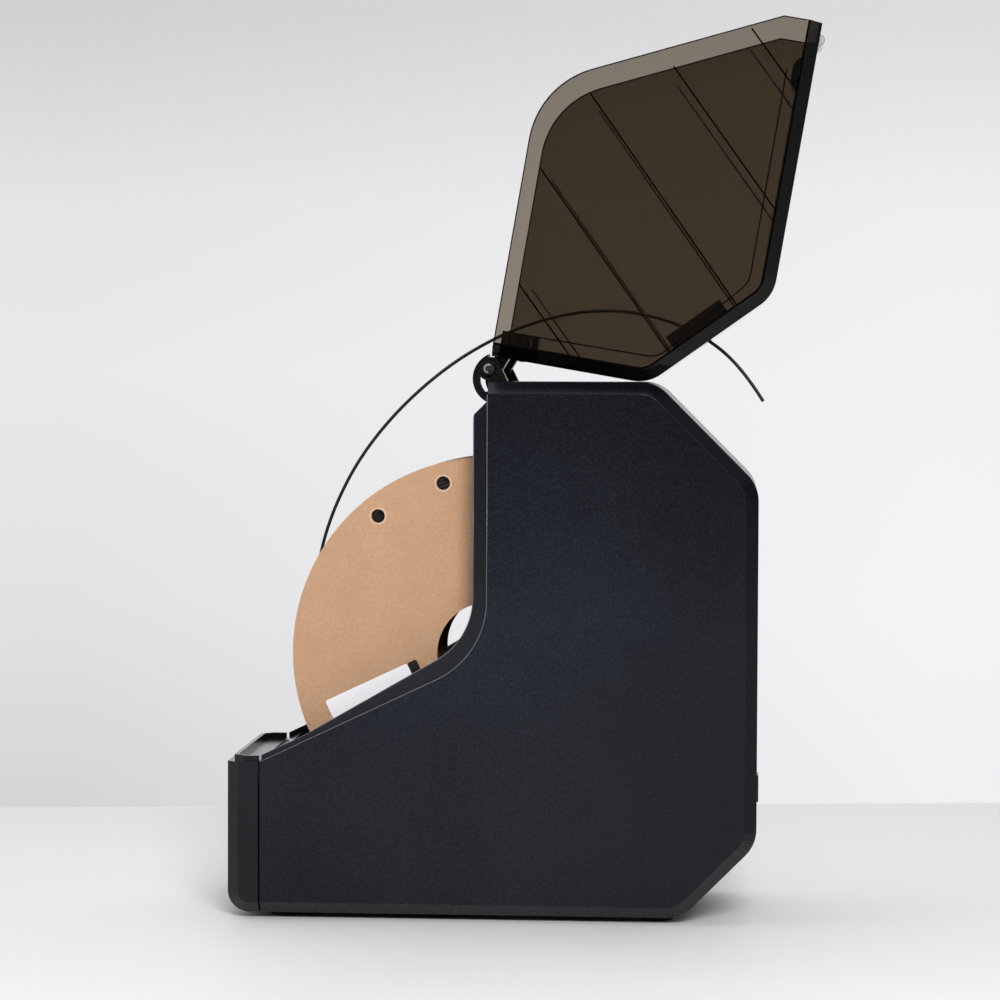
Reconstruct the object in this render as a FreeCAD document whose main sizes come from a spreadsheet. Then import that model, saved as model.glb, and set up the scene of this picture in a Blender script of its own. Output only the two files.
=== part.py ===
"""Filament dryer box: a smoked hood hinged on a black housing, with a spool on rollers inside.

Millimetres, +Z up, front at -X, width along Y. The origin is on the floor under the
middle of the housing. The hood is modelled closed, about its hinge axis, and then swung open.
"""
import FreeCAD
import Part
import Sketcher

import math
import os
import re

from FreeCAD import Placement, Rotation, Vector

SIZES = {
    # Housing outline
    "length": 267.0,
    "width": 112.0,
    "height": 272.0,
    "wall": 2.5,
    "bevel": 6.0,
    "corner_radius": 19.0,
    "top_chamfer": 51.5,
    "low_chamfer": 37.5,
    "opening_ahead": 2.0,
    "slope_top": 134.3,
    "saddle_radius": 44.0,
    # Front panel
    "panel_depth": 17.0,
    "panel_gap": 0.8,
    "deck_height": 79.8,
    "toe_radius": 11.0,
    "rim_height": 3.0,
    "rim_wall": 2.0,
    "window_width": 74.0,
    "window_height": 40.0,
    "window_rise": 46.0,
    "window_thick": 1.8,
    "window_gap": 0.2,
    "window_ledge": 2.5,
    "board_thick": 1.6,
    "display_depth": 4.0,
    # Feet and base cover
    "foot_height": 3.0,
    "foot_radius": 8.5,
    "foot_from_front": 28.0,
    "foot_from_back": 50.0,
    "foot_spread": 66.0,
    "cover_length": 158.0,
    "cover_width": 76.0,
    "cover_ahead": 14.0,
    "cover_gap": 0.3,
    "cover_lap": 8.0,
    "cover_flange": 2.0,
    "vent_length": 34.0,
    "vent_width": 3.0,
    "vent_pitch": 6.0,
    "post_radius": 3.0,
    "post_height": 3.0,
    # Hood
    "lid_wall": 2.5,
    "lid_gap": 0.5,
    "hood_ahead": 2.3,
    "front_gap": 1.6,
    "lid_fit": 0.5,
    "tab_radius": 3.0,
    "tab_width": 36.0,
    "tab_rise": 5.1,
    "catch_depth": 8.0,
    "catch_height": 19.0,
    "catch_width": 30.0,
    "catch_rise": 23.1,
    "catch_round": 7.5,
    # Filament outlet
    "outlet_from_top": 36.7,
    "outlet_length": 33.0,
    "outlet_width": 44.0,
    "outlet_height": 12.0,
    "outlet_bore": 3.2,
    "outlet_neck": 0.6,
    "funnel_length": 21.0,
    "funnel_width": 36.0,
    # Hinge
    "open_angle": 189.75,
    "hinge_rise": 6.5,
    "rod_radius": 3.0,
    "rod_inset": 6.0,
    "rod_fit": 0.06,
    "knuckle_radius": 6.0,
    "bracket_width": 7.0,
    "bracket_inset": 14.0,
    "bracket_foot": 9.5,
    "bracket_leaf": 12.0,
    "hook_radius": 13.3,
    "hook_wall": 3.6,
    "hook_back": 5.0,
    "hook_below": 5.0,
    "arm_width": 9.0,
    "arm_gap": 0.5,
    "arm_block_start": 3.0,
    "arm_block_end": 18.0,
    "arm_block_height": 11.0,
    "notch_depth": 11.0,
    "notch_gap": 0.8,
    # Tub and rollers
    "tub_wall": 2.0,
    "tub_floor": 24.0,
    "tub_room": 5.0,
    "tub_back_room": 9.0,
    "tub_corner": 48.0,
    "tub_lip": 7.0,
    "slope_lip": 3.0,
    "saddle_lip": 11.5,
    "lip_bend": 25.0,
    "lip_drop": 9.5,
    "roller_radius": 8.0,
    "roller_barrel": 6.5,
    "roller_length": 72.0,
    "roller_spread": 84.0,
    "tyre_width": 11.0,
    "roll_gap": 0.3,
    "axle_radius": 2.5,
    "axle_fit": 0.06,
    "post_wall": 4.0,
    "post_gap": 0.5,
    "post_crown": 4.0,
    # Spool and filament
    "spool_lift": 9.6,
    "spool_width": 62.0,
    "flange_thick": 2.5,
    "flange_margin": 7.8,
    "hub_radius": 26.0,
    "core_radius": 48.0,
    "core_wall": 3.0,
    "wire_radius": 0.875,
    "wire_gap": 0.2,
    "turn_pitch": 8.6,
    "peep_radius": 3.5,
    "peep_inset": 10.3,
    # Warm-air base
    "fan_size": 40.0,
    "fan_depth": 10.0,
    "fan_ahead": 3.0,
    "fan_throat": 18.5,
    "fan_hub": 9.5,
    "fan_tip_gap": 0.8,
    "fan_shaft": 1.5,
    "fan_plate": 1.6,
    "fan_gap": 0.4,
    "blade_thick": 1.2,
    "strut_width": 3.0,
    "grille_length": 56.0,
    "grille_width": 46.0,
    "grille_lap": 4.0,
    "grille_thick": 1.8,
    "slot_width": 2.4,
    "slot_pitch": 5.0,
    "heater_length": 38.0,
    "heater_width": 44.0,
    "heater_base": 3.0,
    "heater_height": 11.0,
    "heater_ahead": -45.0,
    "fin_thick": 1.2,
    "fin_pitch": 4.0,
    "board_length": 44.0,
    "board_width": 62.0,
    "board_ahead": 60.0,
    "chip_height": 4.0,
    "chip_width": 8.0,
    "sensor_size": 12.0,
    "sensor_length": 18.0,
    "sensor_height": 2.4,
    "sensor_rise": 150.0,
    # Power inlet
    "inlet_size": 10.0,
    "inlet_flange": 14.0,
    "inlet_flange_thick": 1.5,
    "inlet_length": 13.0,
    "inlet_bore": 3.2,
    "inlet_bore_depth": 9.0,
    "inlet_pin": 1.0,
    "inlet_gap": 0.2,
    "inlet_rise": 60.0,
    "inlet_side": 26.0,
}

# Sizes that follow from others: the spool and the room ahead of it share the length behind the panel
SPOOL_SHARE = 0.4
FRONT_SHARE = 0.054
DERIVED = {
    "spool_radius": f"={SPOOL_SHARE} * (length - panel_depth)",
    "spool_ahead": f"=length / 2 - panel_depth - {FRONT_SHARE} * (length - panel_depth) - spool_radius",
    "spool_height": "=tub_floor + spool_lift + spool_radius",
    "pack_radius": "=spool_radius - flange_margin",
    "peep_ring": "=spool_radius - peep_inset",
    "rod_length": "=width - 2 * rod_inset",
    "bracket_spread": "=width - 2 * bracket_inset",
}
CELLS = {**SIZES, **DERIVED}

TURNS = 6
ARCS_PER_TURN = 4
LEAVE_ANGLE = 168.9
WINDING_SIDES = 4
STRAND_SIDES = 8
GAP_POINTS = 5
BLADES = 7
STRUTS = 4
VENTS = 6
SLOTS = 7
FINS = 11
PEEP_ANGLES = (105.0, 129.0)
SIDES = {"left": -1, "right": 1}

# Bend and tip of a fan blade, as shares of its reach
BLADE_BEND = (0.80, 0.30)
BLADE_TIP = (0.76, 0.60)

# Chips on the main board: middle and half length
CHIPS = [(-12, -20, 4), (10, -18, 6), (-10, 4, 4), (9, 14, 6), (-13, 22, 4)]

# Least lengths for cuts that run past a face, joins that sink into one, and comparisons
OVERCUT = 1.0
OVERLAP = 0.1
EDGE_REACH = 2.5
TINY = 1e-4

# Places along X and Z that several pieces share
FRONT = "-length / 2"
BACK = "length / 2"
SEAM = "(panel_depth - length / 2)"
INSET_45 = "tan(22.5)"
OFFSET_45 = "sqrt(2)"
INNER_BEVEL = "(bevel - (2 - sqrt(2)) * {})"
TUB_IN = "(wall + lid_fit)"
TUB_TOP = f"(height - {TUB_IN})"
TUB_HALF = f"(width / 2 - {TUB_IN})"
TUB_FRONT = "(-spool_ahead - spool_radius - tub_room)"
TUB_BACK = "(-spool_ahead + spool_radius + tub_back_room)"
GRADE = "((slope_top - deck_height) / (length / 2 - panel_depth - opening_ahead))"
CHAMFER_SUM = "(length / 2 + height - top_chamfer)"
COVER_TOP = "(foot_height + wall + cover_flange)"
ROLLER_DROP = "sqrt((spool_radius + roller_radius + roll_gap)^2 - (roller_spread / 2)^2)"
ROLLER_Z = f"(spool_height - {ROLLER_DROP})"
POST_REACH = "(roller_length / 2 + post_gap + post_wall)"

doc = FreeCAD.newDocument("filament_dryer")
sheet = doc.addObject("Spreadsheet::Sheet", "Sizes")
for row, (alias, content) in enumerate(CELLS.items(), 1):
    sheet.set(f"A{row}", alias)
    sheet.set(f"B{row}", str(content))
    sheet.setAlias(f"B{row}", alias)
doc.recompute()

nodes = {}


def bound(formula):
    """The formula with every size name pointing at its cell."""
    return re.sub(r"[a-z_][a-z_0-9]*", lambda w: f"Sizes.{w[0]}" if w[0] in CELLS else w[0], formula)


def size(formula):
    """What a formula of sizes comes to now, in millimetres."""
    return float(sheet.evalExpression(formula))


def bind(thing, formulas):
    for name, formula in formulas.items():
        thing.setExpression(name, bound(formula))


def place(thing, x="0", y="0", z="0", turn=None):
    """Put a piece at x, y, z, turned by (axis, angle formula) if given."""
    if turn:
        axis, angle = turn
        thing.Placement = Placement(Vector(), Rotation(axis, size(angle)))
        bind(thing, {"Placement.Rotation.Angle": angle})
    bind(thing, {"Placement.Base.x": x, "Placement.Base.y": y, "Placement.Base.z": z})
    return thing


def hang_on_hinge(thing, y="0"):
    """Swing a piece that is modelled closed, about the hinge axis, to the open hood's place."""
    return place(thing, "-opening_ahead", y, "height + hinge_rise", (Vector(0, 1, 0), "open_angle"))


def node(name, thing):
    thing.Label = name
    nodes[name] = thing
    return thing


def new_body(name):
    return doc.addObject("PartDesign::Body", name)


def sketch_on(body, role, level=None):
    """A sketch on one of the body's own planes, raised by a level."""
    sketch = body.newObject("Sketcher::SketchObject", f"{body.Name}_sketch")
    plane = next(o for o in body.Origin.OriginFeatures if o.Role == role)
    sketch.AttachmentSupport = [(plane, "")]
    sketch.MapMode = "FlatFace"
    if level:
        bind(sketch, {"AttachmentOffset.Base.z": level})
    return sketch


def pin_point(sketch, item, end, point):
    for kind, formula in zip(("DistanceX", "DistanceY"), point):
        spot = sketch.addConstraint(Sketcher.Constraint(kind, -1, 1, item, end, size(formula)))
        bind(sketch, {f"Constraints[{spot}]": formula})


def polygon(sketch, points):
    """A closed outline whose corners are pairs of formulas."""
    corners = [Vector(size(u), size(v), 0) for u, v in points]
    count = len(corners)
    first = sketch.GeometryCount
    for i in range(count):
        sketch.addGeometry(Part.LineSegment(corners[i], corners[(i + 1) % count]), False)
    for i in range(count):
        sketch.addConstraint(Sketcher.Constraint("Coincident", first + i, 2, first + (i + 1) % count, 1))
    for i, point in enumerate(points):
        pin_point(sketch, first + i, 1, point)


def rectangle(sketch, u_low, u_high, v_low, v_high):
    polygon(sketch, [(u_low, v_low), (u_high, v_low), (u_high, v_high), (u_low, v_high)])


def circle(sketch, centre, radius):
    middle = Vector(size(centre[0]), size(centre[1]), 0)
    item = sketch.addGeometry(Part.Circle(middle, Vector(0, 0, 1), size(radius)), False)
    pin_point(sketch, item, 3, centre)
    spot = sketch.addConstraint(Sketcher.Constraint("Radius", item, size(radius)))
    bind(sketch, {f"Constraints[{spot}]": radius})


def pad(body, sketch, length, symmetric=True):
    feature = body.newObject("PartDesign::Pad", f"{body.Name}_pad")
    feature.Profile = sketch
    feature.SideType = "Symmetric" if symmetric else "One side"
    bind(feature, {"Length": length})
    doc.recompute()
    return feature


def pocket(body, sketch, length=None, symmetric=True, reverse=False):
    """Cut the sketch out of the body, right through unless a length is given."""
    before = body.Shape.Volume
    feature = body.newObject("PartDesign::Pocket", f"{body.Name}_pocket")
    feature.Profile = sketch
    feature.SideType = "Symmetric" if symmetric else "One side"
    feature.Reversed = reverse
    if length:
        bind(feature, {"Length": length})
    else:
        feature.Type = "ThroughAll"
    doc.recompute()
    if body.Shape.Volume > before - TINY:
        raise RuntimeError(f"{body.Name}: a pocket cuts nothing")
    return feature


def row_of(body, feature, sketch, axis, length, count):
    """Repeat a feature in a row along one of its sketch's axes."""
    pattern = body.newObject("PartDesign::LinearPattern", f"{body.Name}_row")
    pattern.Originals = [feature]
    pattern.Direction = (sketch, [axis])
    bind(pattern, {"Length": length})
    pattern.Occurrences = count
    body.Tip = pattern
    doc.recompute()


def ring_of(body, feature, sketch, count):
    """Repeat a feature evenly round its sketch's origin."""
    pattern = body.newObject("PartDesign::PolarPattern", f"{body.Name}_ring")
    pattern.Originals = [feature]
    pattern.Axis = (sketch, ["N_Axis"])
    pattern.Angle = 360
    pattern.Occurrences = count
    body.Tip = pattern
    doc.recompute()


def round_corners(body, corners, radius):
    """Round the edges along Y that stand at the given corners of the outline."""
    spots = [(size(x), size(z)) for x, z in corners]
    names = []
    for number, edge in enumerate(body.Shape.Edges, 1):
        start, end = edge.Vertexes[0].Point, edge.Vertexes[-1].Point
        along_y = math.hypot(start.x - end.x, start.z - end.z) < TINY < abs(start.y - end.y)
        if along_y and any(math.hypot(start.x - x, start.z - z) < TINY for x, z in spots):
            names.append(f"Edge{number}")
    base = body.Tip
    feature = body.newObject("PartDesign::Fillet", f"{body.Name}_round")
    feature.Base = (base, names)
    bind(feature, {"Radius": radius})
    doc.recompute()


def path_distance(point, path):
    """How far a point (x, z) lies from a path of straight runs."""
    best = math.inf
    for (ax, az), (bx, bz) in zip(path, path[1:]):
        dx, dz = bx - ax, bz - az
        share = ((point[0] - ax) * dx + (point[1] - az) * dz) / (dx * dx + dz * dz)
        share = min(1.0, max(0.0, share))
        best = min(best, math.hypot(point[0] - ax - share * dx, point[1] - az - share * dz))
    return best


def bevel_sides(body, outline, leg):
    """Bevel both side faces along the stretch of the outline that is given."""
    path = [(size(x), size(z)) for x, z in outline]
    side = body.Shape.BoundBox.YMax
    names = []
    for number, edge in enumerate(body.Shape.Edges, 1):
        middle = edge.valueAt((edge.FirstParameter + edge.LastParameter) / 2)
        on_side = all(abs(abs(v.Point.y) - side) < TINY for v in edge.Vertexes)
        if on_side and abs(abs(middle.y) - side) < TINY:
            if path_distance((middle.x, middle.z), path) < EDGE_REACH:
                names.append(f"Edge{number}")
    base = body.Tip
    feature = body.newObject("PartDesign::Chamfer", f"{body.Name}_bevel")
    feature.Base = (base, names)
    bind(feature, {"Size": leg})
    doc.recompute()


def prism(name, outline, thickness, rounds=(), bevel_along=(), leg=None):
    """A slab across the width: its outline in XZ, rounded corners and bevelled sides."""
    body = new_body(name)
    sketch = sketch_on(body, "XZ_Plane")
    polygon(sketch, outline)
    pad(body, sketch, thickness)
    for corners, radius in rounds:
        round_corners(body, [outline[i] for i in corners], radius)
    if bevel_along:
        bevel_sides(body, [outline[i] for i in bevel_along], leg)
    return body


def box(name, x, y, z, dx, dy, dz):
    block = doc.addObject("Part::Box", name)
    bind(block, {"Length": dx, "Width": dy, "Height": dz})
    return place(block, x, y, z)


def cylinder(name, radius, length, x="0", y="0", z="0", axis="z"):
    """A cylinder that starts at x, y, z and runs along +X, +Y or +Z."""
    turns = {"x": (Vector(0, 1, 0), "90"), "y": (Vector(1, 0, 0), "-90"), "z": None}
    rod = doc.addObject("Part::Cylinder", name)
    bind(rod, {"Radius": radius, "Height": length})
    return place(rod, x, y, z, turns[axis])


def joined(name, pieces):
    union = doc.addObject("Part::MultiFuse", name)
    union.Shapes = pieces
    union.Refine = True
    return union


def cut(name, base, tools):
    result = doc.addObject("Part::Cut", name)
    result.Base = base
    result.Tool = tools[0] if len(tools) == 1 else joined(f"{name}_tools", tools)
    result.Refine = True
    return result


def group(name, pieces):
    bundle = doc.addObject("Part::Compound", name)
    bundle.Links = pieces
    return bundle


def slope_at(x):
    """Height of the housing's sloping edge at x."""
    return f"(slope_top + (opening_ahead + {x}) * {GRADE})"


def make_housing():
    outline = [
        (SEAM, "foot_height"),
        (f"{BACK} - low_chamfer", "foot_height"),
        (BACK, "foot_height + low_chamfer"),
        (BACK, "height - top_chamfer"),
        (f"{BACK} - top_chamfer", "height"),
        ("-opening_ahead", "height"),
        ("-opening_ahead", "slope_top"),
        (SEAM, "deck_height"),
    ]
    rounds = [((1, 2, 3, 4), "corner_radius"), ((6,), "saddle_radius")]
    outer = prism("housing_outer", outline, "width", rounds, range(6), "bevel")
    hollow = [
        (f"{SEAM} - {OVERCUT}", "foot_height + wall"),
        (f"{BACK} - low_chamfer - wall * {INSET_45}", "foot_height + wall"),
        (f"{BACK} - wall", f"foot_height + low_chamfer + wall * {INSET_45}"),
        (f"{BACK} - wall", f"height - top_chamfer - wall * {INSET_45}"),
        (f"{BACK} - top_chamfer - wall * {INSET_45}", "height - wall"),
        (f"{SEAM} - {OVERCUT}", "height - wall"),
    ]
    inside_rounds = [((1, 2, 3, 4), "corner_radius - wall")]
    inside = prism("housing_hollow", hollow, "width - 2 * wall", inside_rounds, range(6),
                   INNER_BEVEL.format("wall"))
    window = box("base_window", "-cover_ahead - cover_length / 2 - cover_gap",
                 "-cover_width / 2 - cover_gap", f"foot_height - {OVERCUT}",
                 "cover_length + 2 * cover_gap", "cover_width + 2 * cover_gap",
                 f"wall + 2 * {OVERCUT}")
    inlet_hole = box("inlet_hole", f"{BACK} - wall - {OVERCUT}", "inlet_side - inlet_size / 2 - inlet_gap",
                     "inlet_rise - inlet_size / 2 - inlet_gap", f"wall + 2 * {OVERCUT}",
                     "inlet_size + 2 * inlet_gap", "inlet_size + 2 * inlet_gap")
    node("outer_housing", cut("housing", outer, [inside, window, inlet_hole]))


def make_tub():
    """The liner: side walls with a lip, a ledge at the seam, a floor and posts for the rollers."""
    lip_x = "(-opening_ahead - tub_lip)"
    bend_x = f"({SEAM} + lip_bend)"
    ledge_x = f"({SEAM} + lid_fit)"
    front_x = f"({TUB_FRONT} - tub_wall)"
    slant = f"({CHAMFER_SUM} - {TUB_IN} * {OFFSET_45})"
    inner_slant = f"({CHAMFER_SUM} - ({TUB_IN} + tub_wall) * {OFFSET_45})"
    outline = [
        (front_x, "tub_floor - tub_wall"),
        (f"{TUB_BACK} + tub_wall", "tub_floor - tub_wall"),
        (f"{TUB_BACK} + tub_wall", f"{slant} - {TUB_BACK} - tub_wall"),
        (f"{slant} - {TUB_TOP}", TUB_TOP),
        ("-opening_ahead", TUB_TOP),
        ("-opening_ahead", "height - lip_drop"),
        (lip_x, "height - lip_drop - tub_lip"),
        (lip_x, f"{slope_at(lip_x)} + saddle_lip"),
        (bend_x, f"{slope_at(bend_x)} + slope_lip"),
        (ledge_x, f"{slope_at(ledge_x)} + slope_lip"),
        (ledge_x, f"{slope_at(ledge_x)} - tub_wall"),
        (front_x, f"{slope_at(front_x)} - tub_wall"),
    ]
    rounds = [((0, 1), "tub_corner + tub_wall"), ((3,), f"corner_radius - {TUB_IN}"),
              ((7,), "saddle_radius - tub_lip")]
    outer = prism("tub_outer", outline, f"2 * {TUB_HALF}", rounds, (2, 3, 4), "bevel")
    hollow = [
        (TUB_FRONT, "tub_floor"),
        (TUB_BACK, "tub_floor"),
        (TUB_BACK, f"{inner_slant} - {TUB_BACK}"),
        (f"{inner_slant} - {TUB_TOP} + tub_wall", f"{TUB_TOP} - tub_wall"),
        (TUB_FRONT, f"{TUB_TOP} - tub_wall"),
    ]
    inside = prism("tub_hollow", hollow, f"2 * ({TUB_HALF} - tub_wall)",
                   [((0, 1), "tub_corner"), ((3,), f"corner_radius - {TUB_IN} - tub_wall")],
                   (2, 3, 4), INNER_BEVEL.format("tub_wall"))
    ledge_ends = (f"({ledge_x} - {OVERCUT})", f"({TUB_FRONT} + {OVERCUT})")
    ledge = [(x, slope_at(x)) for x in ledge_ends] + [(x, "height") for x in reversed(ledge_ends)]
    ledge_room = prism("ledge_room", ledge, f"2 * ({TUB_HALF} - tub_wall)")
    floor_hole = box("tub_floor_hole", "-fan_ahead - grille_length / 2 + grille_lap",
                     "-grille_width / 2 + grille_lap", f"tub_floor - tub_wall - {OVERCUT}",
                     "grille_length - 2 * grille_lap", "grille_width - 2 * grille_lap",
                     f"tub_wall + 2 * {OVERCUT}")
    shell = cut("tub_shell", outer, [inside, ledge_room, floor_hole])
    posts = []
    bores = []
    for end in (-1, 1):
        x = f"-spool_ahead + {end} * roller_spread / 2"
        bores.append(cylinder("axle_bore", "axle_radius + axle_fit", f"2 * ({POST_REACH} + {OVERCUT})",
                              x, f"-{POST_REACH} - {OVERCUT}", ROLLER_Z, "y"))
        for side in (-1, 1):
            y = f"{side} * ({POST_REACH} - post_wall / 2) - post_wall / 2"
            posts.append(box("roller_post", f"{x} - roller_radius", y, f"tub_floor - {OVERCUT}",
                             "2 * roller_radius", "post_wall",
                             f"{ROLLER_Z} + axle_radius + post_crown - tub_floor + {OVERCUT}"))
    node("inner_tub", cut("tub", joined("tub_with_posts", [shell] + posts), bores))


def make_front_panel():
    rear = f"{SEAM} - panel_gap"
    outline = [
        (rear, "foot_height"),
        (FRONT, "foot_height"),
        (FRONT, "deck_height"),
        (rear, "deck_height"),
    ]
    body = prism("panel", outline, "width", [((1,), "toe_radius")], (0, 1, 2), "bevel")
    hollow = sketch_on(body, "XZ_Plane")
    rectangle(hollow, f"{FRONT} + wall", f"{SEAM} + {OVERCUT}", "foot_height + bevel",
              "deck_height - wall")
    pocket(body, hollow, "width - 2 * bevel")
    rim = sketch_on(body, "XY_Plane", "deck_height")
    nose = f"({FRONT} + lid_wall + lid_fit)"
    half = "(width / 2 - lid_wall - lid_fit)"
    inner_half = f"({half} - rim_wall)"
    polygon(rim, [
        (rear, f"-{half}"), (f"{nose} + bevel", f"-{half}"), (nose, f"-{half} + bevel"),
        (nose, f"{half} - bevel"), (f"{nose} + bevel", half), (rear, half),
        (rear, inner_half), (f"{nose} + bevel", inner_half),
        (f"{nose} + rim_wall", f"{inner_half} - bevel + rim_wall"),
        (f"{nose} + rim_wall", f"-{inner_half} + bevel - rim_wall"),
        (f"{nose} + bevel", f"-{inner_half}"), (rear, f"-{inner_half}"),
    ])
    pad(body, rim, "rim_height", symmetric=False)
    window = sketch_on(body, "YZ_Plane", FRONT)
    rectangle(window, "-window_width / 2 - window_gap", "window_width / 2 + window_gap",
              "window_rise - window_height / 2 - window_gap",
              "window_rise + window_height / 2 + window_gap")
    pocket(body, window, "window_thick", symmetric=False, reverse=True)
    opening = sketch_on(body, "YZ_Plane", FRONT)
    rectangle(opening, "-window_width / 2 + window_ledge", "window_width / 2 - window_ledge",
              "window_rise - window_height / 2 + window_ledge",
              "window_rise + window_height / 2 - window_ledge")
    pocket(body, opening, f"wall + {OVERCUT}", symmetric=False, reverse=True)
    node("front_panel", body)

    pane = new_body("window")
    face = sketch_on(pane, "YZ_Plane", FRONT)
    rectangle(face, "-window_width / 2", "window_width / 2", "window_rise - window_height / 2",
              "window_rise + window_height / 2")
    pad(pane, face, "window_thick", symmetric=False)
    node("display_window", pane)

    board = new_body("display")
    screen = sketch_on(board, "YZ_Plane", f"{FRONT} + window_thick")
    rectangle(screen, "-window_width / 2 + 2 * window_ledge", "window_width / 2 - 2 * window_ledge",
              "window_rise - window_height / 2 + 2 * window_ledge",
              "window_rise + window_height / 2 - 2 * window_ledge")
    pad(board, screen, "display_depth", symmetric=False)
    plate = sketch_on(board, "YZ_Plane", f"{FRONT} + window_thick + display_depth")
    rectangle(plate, "-window_width / 2", "window_width / 2", "window_rise - window_height / 2",
              "window_rise + window_height / 2")
    pad(board, plate, "board_thick", symmetric=False)
    node("display_board", board)


def make_base():
    cover = new_body("cover")
    plate = sketch_on(cover, "XY_Plane", "foot_height")
    rectangle(plate, "-cover_ahead - cover_length / 2", "-cover_ahead + cover_length / 2",
              "-cover_width / 2", "cover_width / 2")
    pad(cover, plate, "wall", symmetric=False)
    flange = sketch_on(cover, "XY_Plane", "foot_height + wall")
    rectangle(flange, "-cover_ahead - cover_length / 2 - cover_lap",
              "-cover_ahead + cover_length / 2 + cover_lap",
              "-cover_width / 2 - cover_lap", "cover_width / 2 + cover_lap")
    pad(cover, flange, "cover_flange", symmetric=False)
    posts = sketch_on(cover, "XY_Plane", COVER_TOP)
    for x_side in (-1, 1):
        for y_side in (-1, 1):
            circle(posts, (f"-board_ahead + {x_side} * (board_length / 2 - post_radius)",
                           f"{y_side} * (board_width / 2 - post_radius)"), "post_radius")
    pad(cover, posts, "post_height", symmetric=False)
    vent = sketch_on(cover, "XY_Plane")
    row = f"({VENTS - 1} * vent_pitch)"
    rectangle(vent, "-fan_ahead - vent_length / 2", "-fan_ahead + vent_length / 2",
              f"-{row} / 2 - vent_width / 2", f"-{row} / 2 + vent_width / 2")
    slot = pocket(cover, vent)
    row_of(cover, slot, vent, "V_Axis", row, VENTS)
    node("base_cover", cover)

    feet = []
    for x in (f"{FRONT} + foot_from_front", f"{BACK} - foot_from_back"):
        for side in (-1, 1):
            feet.append(cylinder("foot", "foot_radius", "foot_height", x, f"{side} * foot_spread / 2"))
    node("rubber_feet", group("feet", feet))


def make_hood():
    front = f"({FRONT} + opening_ahead - hood_ahead)"
    top = "-hinge_rise"
    chamfer = "(top_chamfer + hood_ahead)"
    down = "- height - hinge_rise"
    edge = "-lid_gap"
    low = f"(deck_height + front_gap {down})"
    outline = [
        (front, low),
        (front, f"{top} - {chamfer}"),
        (f"{front} + {chamfer}", top),
        (edge, top),
        (edge, f"slope_top + lid_gap {down}"),
        (f"{SEAM} + opening_ahead", low),
    ]
    rounds = [((1, 2), "corner_radius"), ((4,), "saddle_radius - lid_gap")]
    outer = prism("hood_outer", outline, "width", rounds, (0, 1, 2, 3), "bevel")
    inset = f"lid_wall * {INSET_45}"
    hollow = [
        (f"{front} + lid_wall", f"{low} - {OVERCUT}"),
        (f"{front} + lid_wall", f"{top} - {chamfer} - {inset}"),
        (f"{front} + {chamfer} + {inset}", f"{top} - lid_wall"),
        (f"{OVERCUT}", f"{top} - lid_wall"),
        (f"{OVERCUT}", f"{low} - {OVERCUT}"),
    ]
    inside = prism("hood_hollow", hollow, "width - 2 * lid_wall",
                   [((1, 2), "corner_radius - lid_wall")], (0, 1, 2, 3),
                   INNER_BEVEL.format("lid_wall"))
    tab = cylinder("hood_tab", "tab_radius", "tab_width", front, "-tab_width / 2",
                   f"{low} + tab_rise", "y")
    notch_low = "(bracket_spread / 2 - bracket_width / 2 - arm_gap - arm_width - notch_gap)"
    notch_high = "(bracket_spread / 2 + bracket_width / 2 + notch_gap)"
    tools = [inside, outlet_bore("hood_outlet", f"-{OVERCUT}", "2 * lid_wall")]
    for side in SIDES.values():
        y = f"-{notch_high}" if side < 0 else notch_low
        tools.append(box("notch", "-notch_depth", y, f"{top} - 2 * lid_wall", "2 * notch_depth",
                         f"{notch_high} - {notch_low}", "3 * lid_wall"))
    hood = cut("hood", joined("hood_solid", [outer, tab]), tools)
    node("lid_hood", hang_on_hinge(hood))

    wall_x = f"({front} + lid_wall)"
    catch_low = f"{low} + catch_rise - catch_height / 2"
    catch_outline = [
        (wall_x, catch_low),
        (f"{wall_x} + catch_depth", catch_low),
        (f"{wall_x} + catch_depth", f"{catch_low} + catch_height"),
        (wall_x, f"{catch_low} + catch_height"),
    ]
    catch = prism("catch", catch_outline, "catch_width", [((1, 2), "catch_round")])
    node("lid_catch", hang_on_hinge(catch))


def outlet_place(depth, along="0"):
    """A point on the outlet's axis, at a depth inside the sloping wall of the closed hood."""
    root = f"({OFFSET_45} / 2)"
    x = f"({FRONT} + opening_ahead + top_chamfer - (outlet_from_top + {along} - ({depth})) * {root})"
    z = f"(-hinge_rise - (outlet_from_top + {along} + ({depth})) * {root})"
    return x, z


def outlet_bore(name, depth, length):
    """A straight round hole along the outlet's axis."""
    x, z = outlet_place(depth)
    rod = doc.addObject("Part::Cylinder", name)
    bind(rod, {"Radius": "outlet_bore", "Height": f"{length} + {OVERCUT}"})
    return place(rod, x, "0", z, (Vector(0, 1, 0), "135"))


def make_outlet():
    """The black block behind the sloping wall, with a funnel towards the spool."""
    block = doc.addObject("Part::Box", "outlet_blank")
    bind(block, {"Length": "outlet_length", "Width": "outlet_width", "Height": "outlet_height"})
    x, z = outlet_place("lid_wall", "(-outlet_length / 2)")
    place(block, x, "-outlet_width / 2", z, (Vector(0, 1, 0), "135"))
    funnel = new_body("outlet_funnel")
    flare = sketch_on(funnel, "YZ_Plane")
    polygon(flare, [("-outlet_bore", "0"), ("outlet_bore", "0"),
                    ("funnel_width / 2", f"outlet_height - outlet_neck + {OVERLAP}"),
                    ("-funnel_width / 2", f"outlet_height - outlet_neck + {OVERLAP}")])
    pad(funnel, flare, "funnel_length")
    x, z = outlet_place("lid_wall + outlet_neck")
    place(funnel, x, "0", z, (Vector(0, 1, 0), "135"))
    bore = outlet_bore("outlet_neck_bore", "0", "lid_wall + outlet_neck")
    node("outlet_block", hang_on_hinge(cut("outlet", block, [funnel, bore])))


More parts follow.
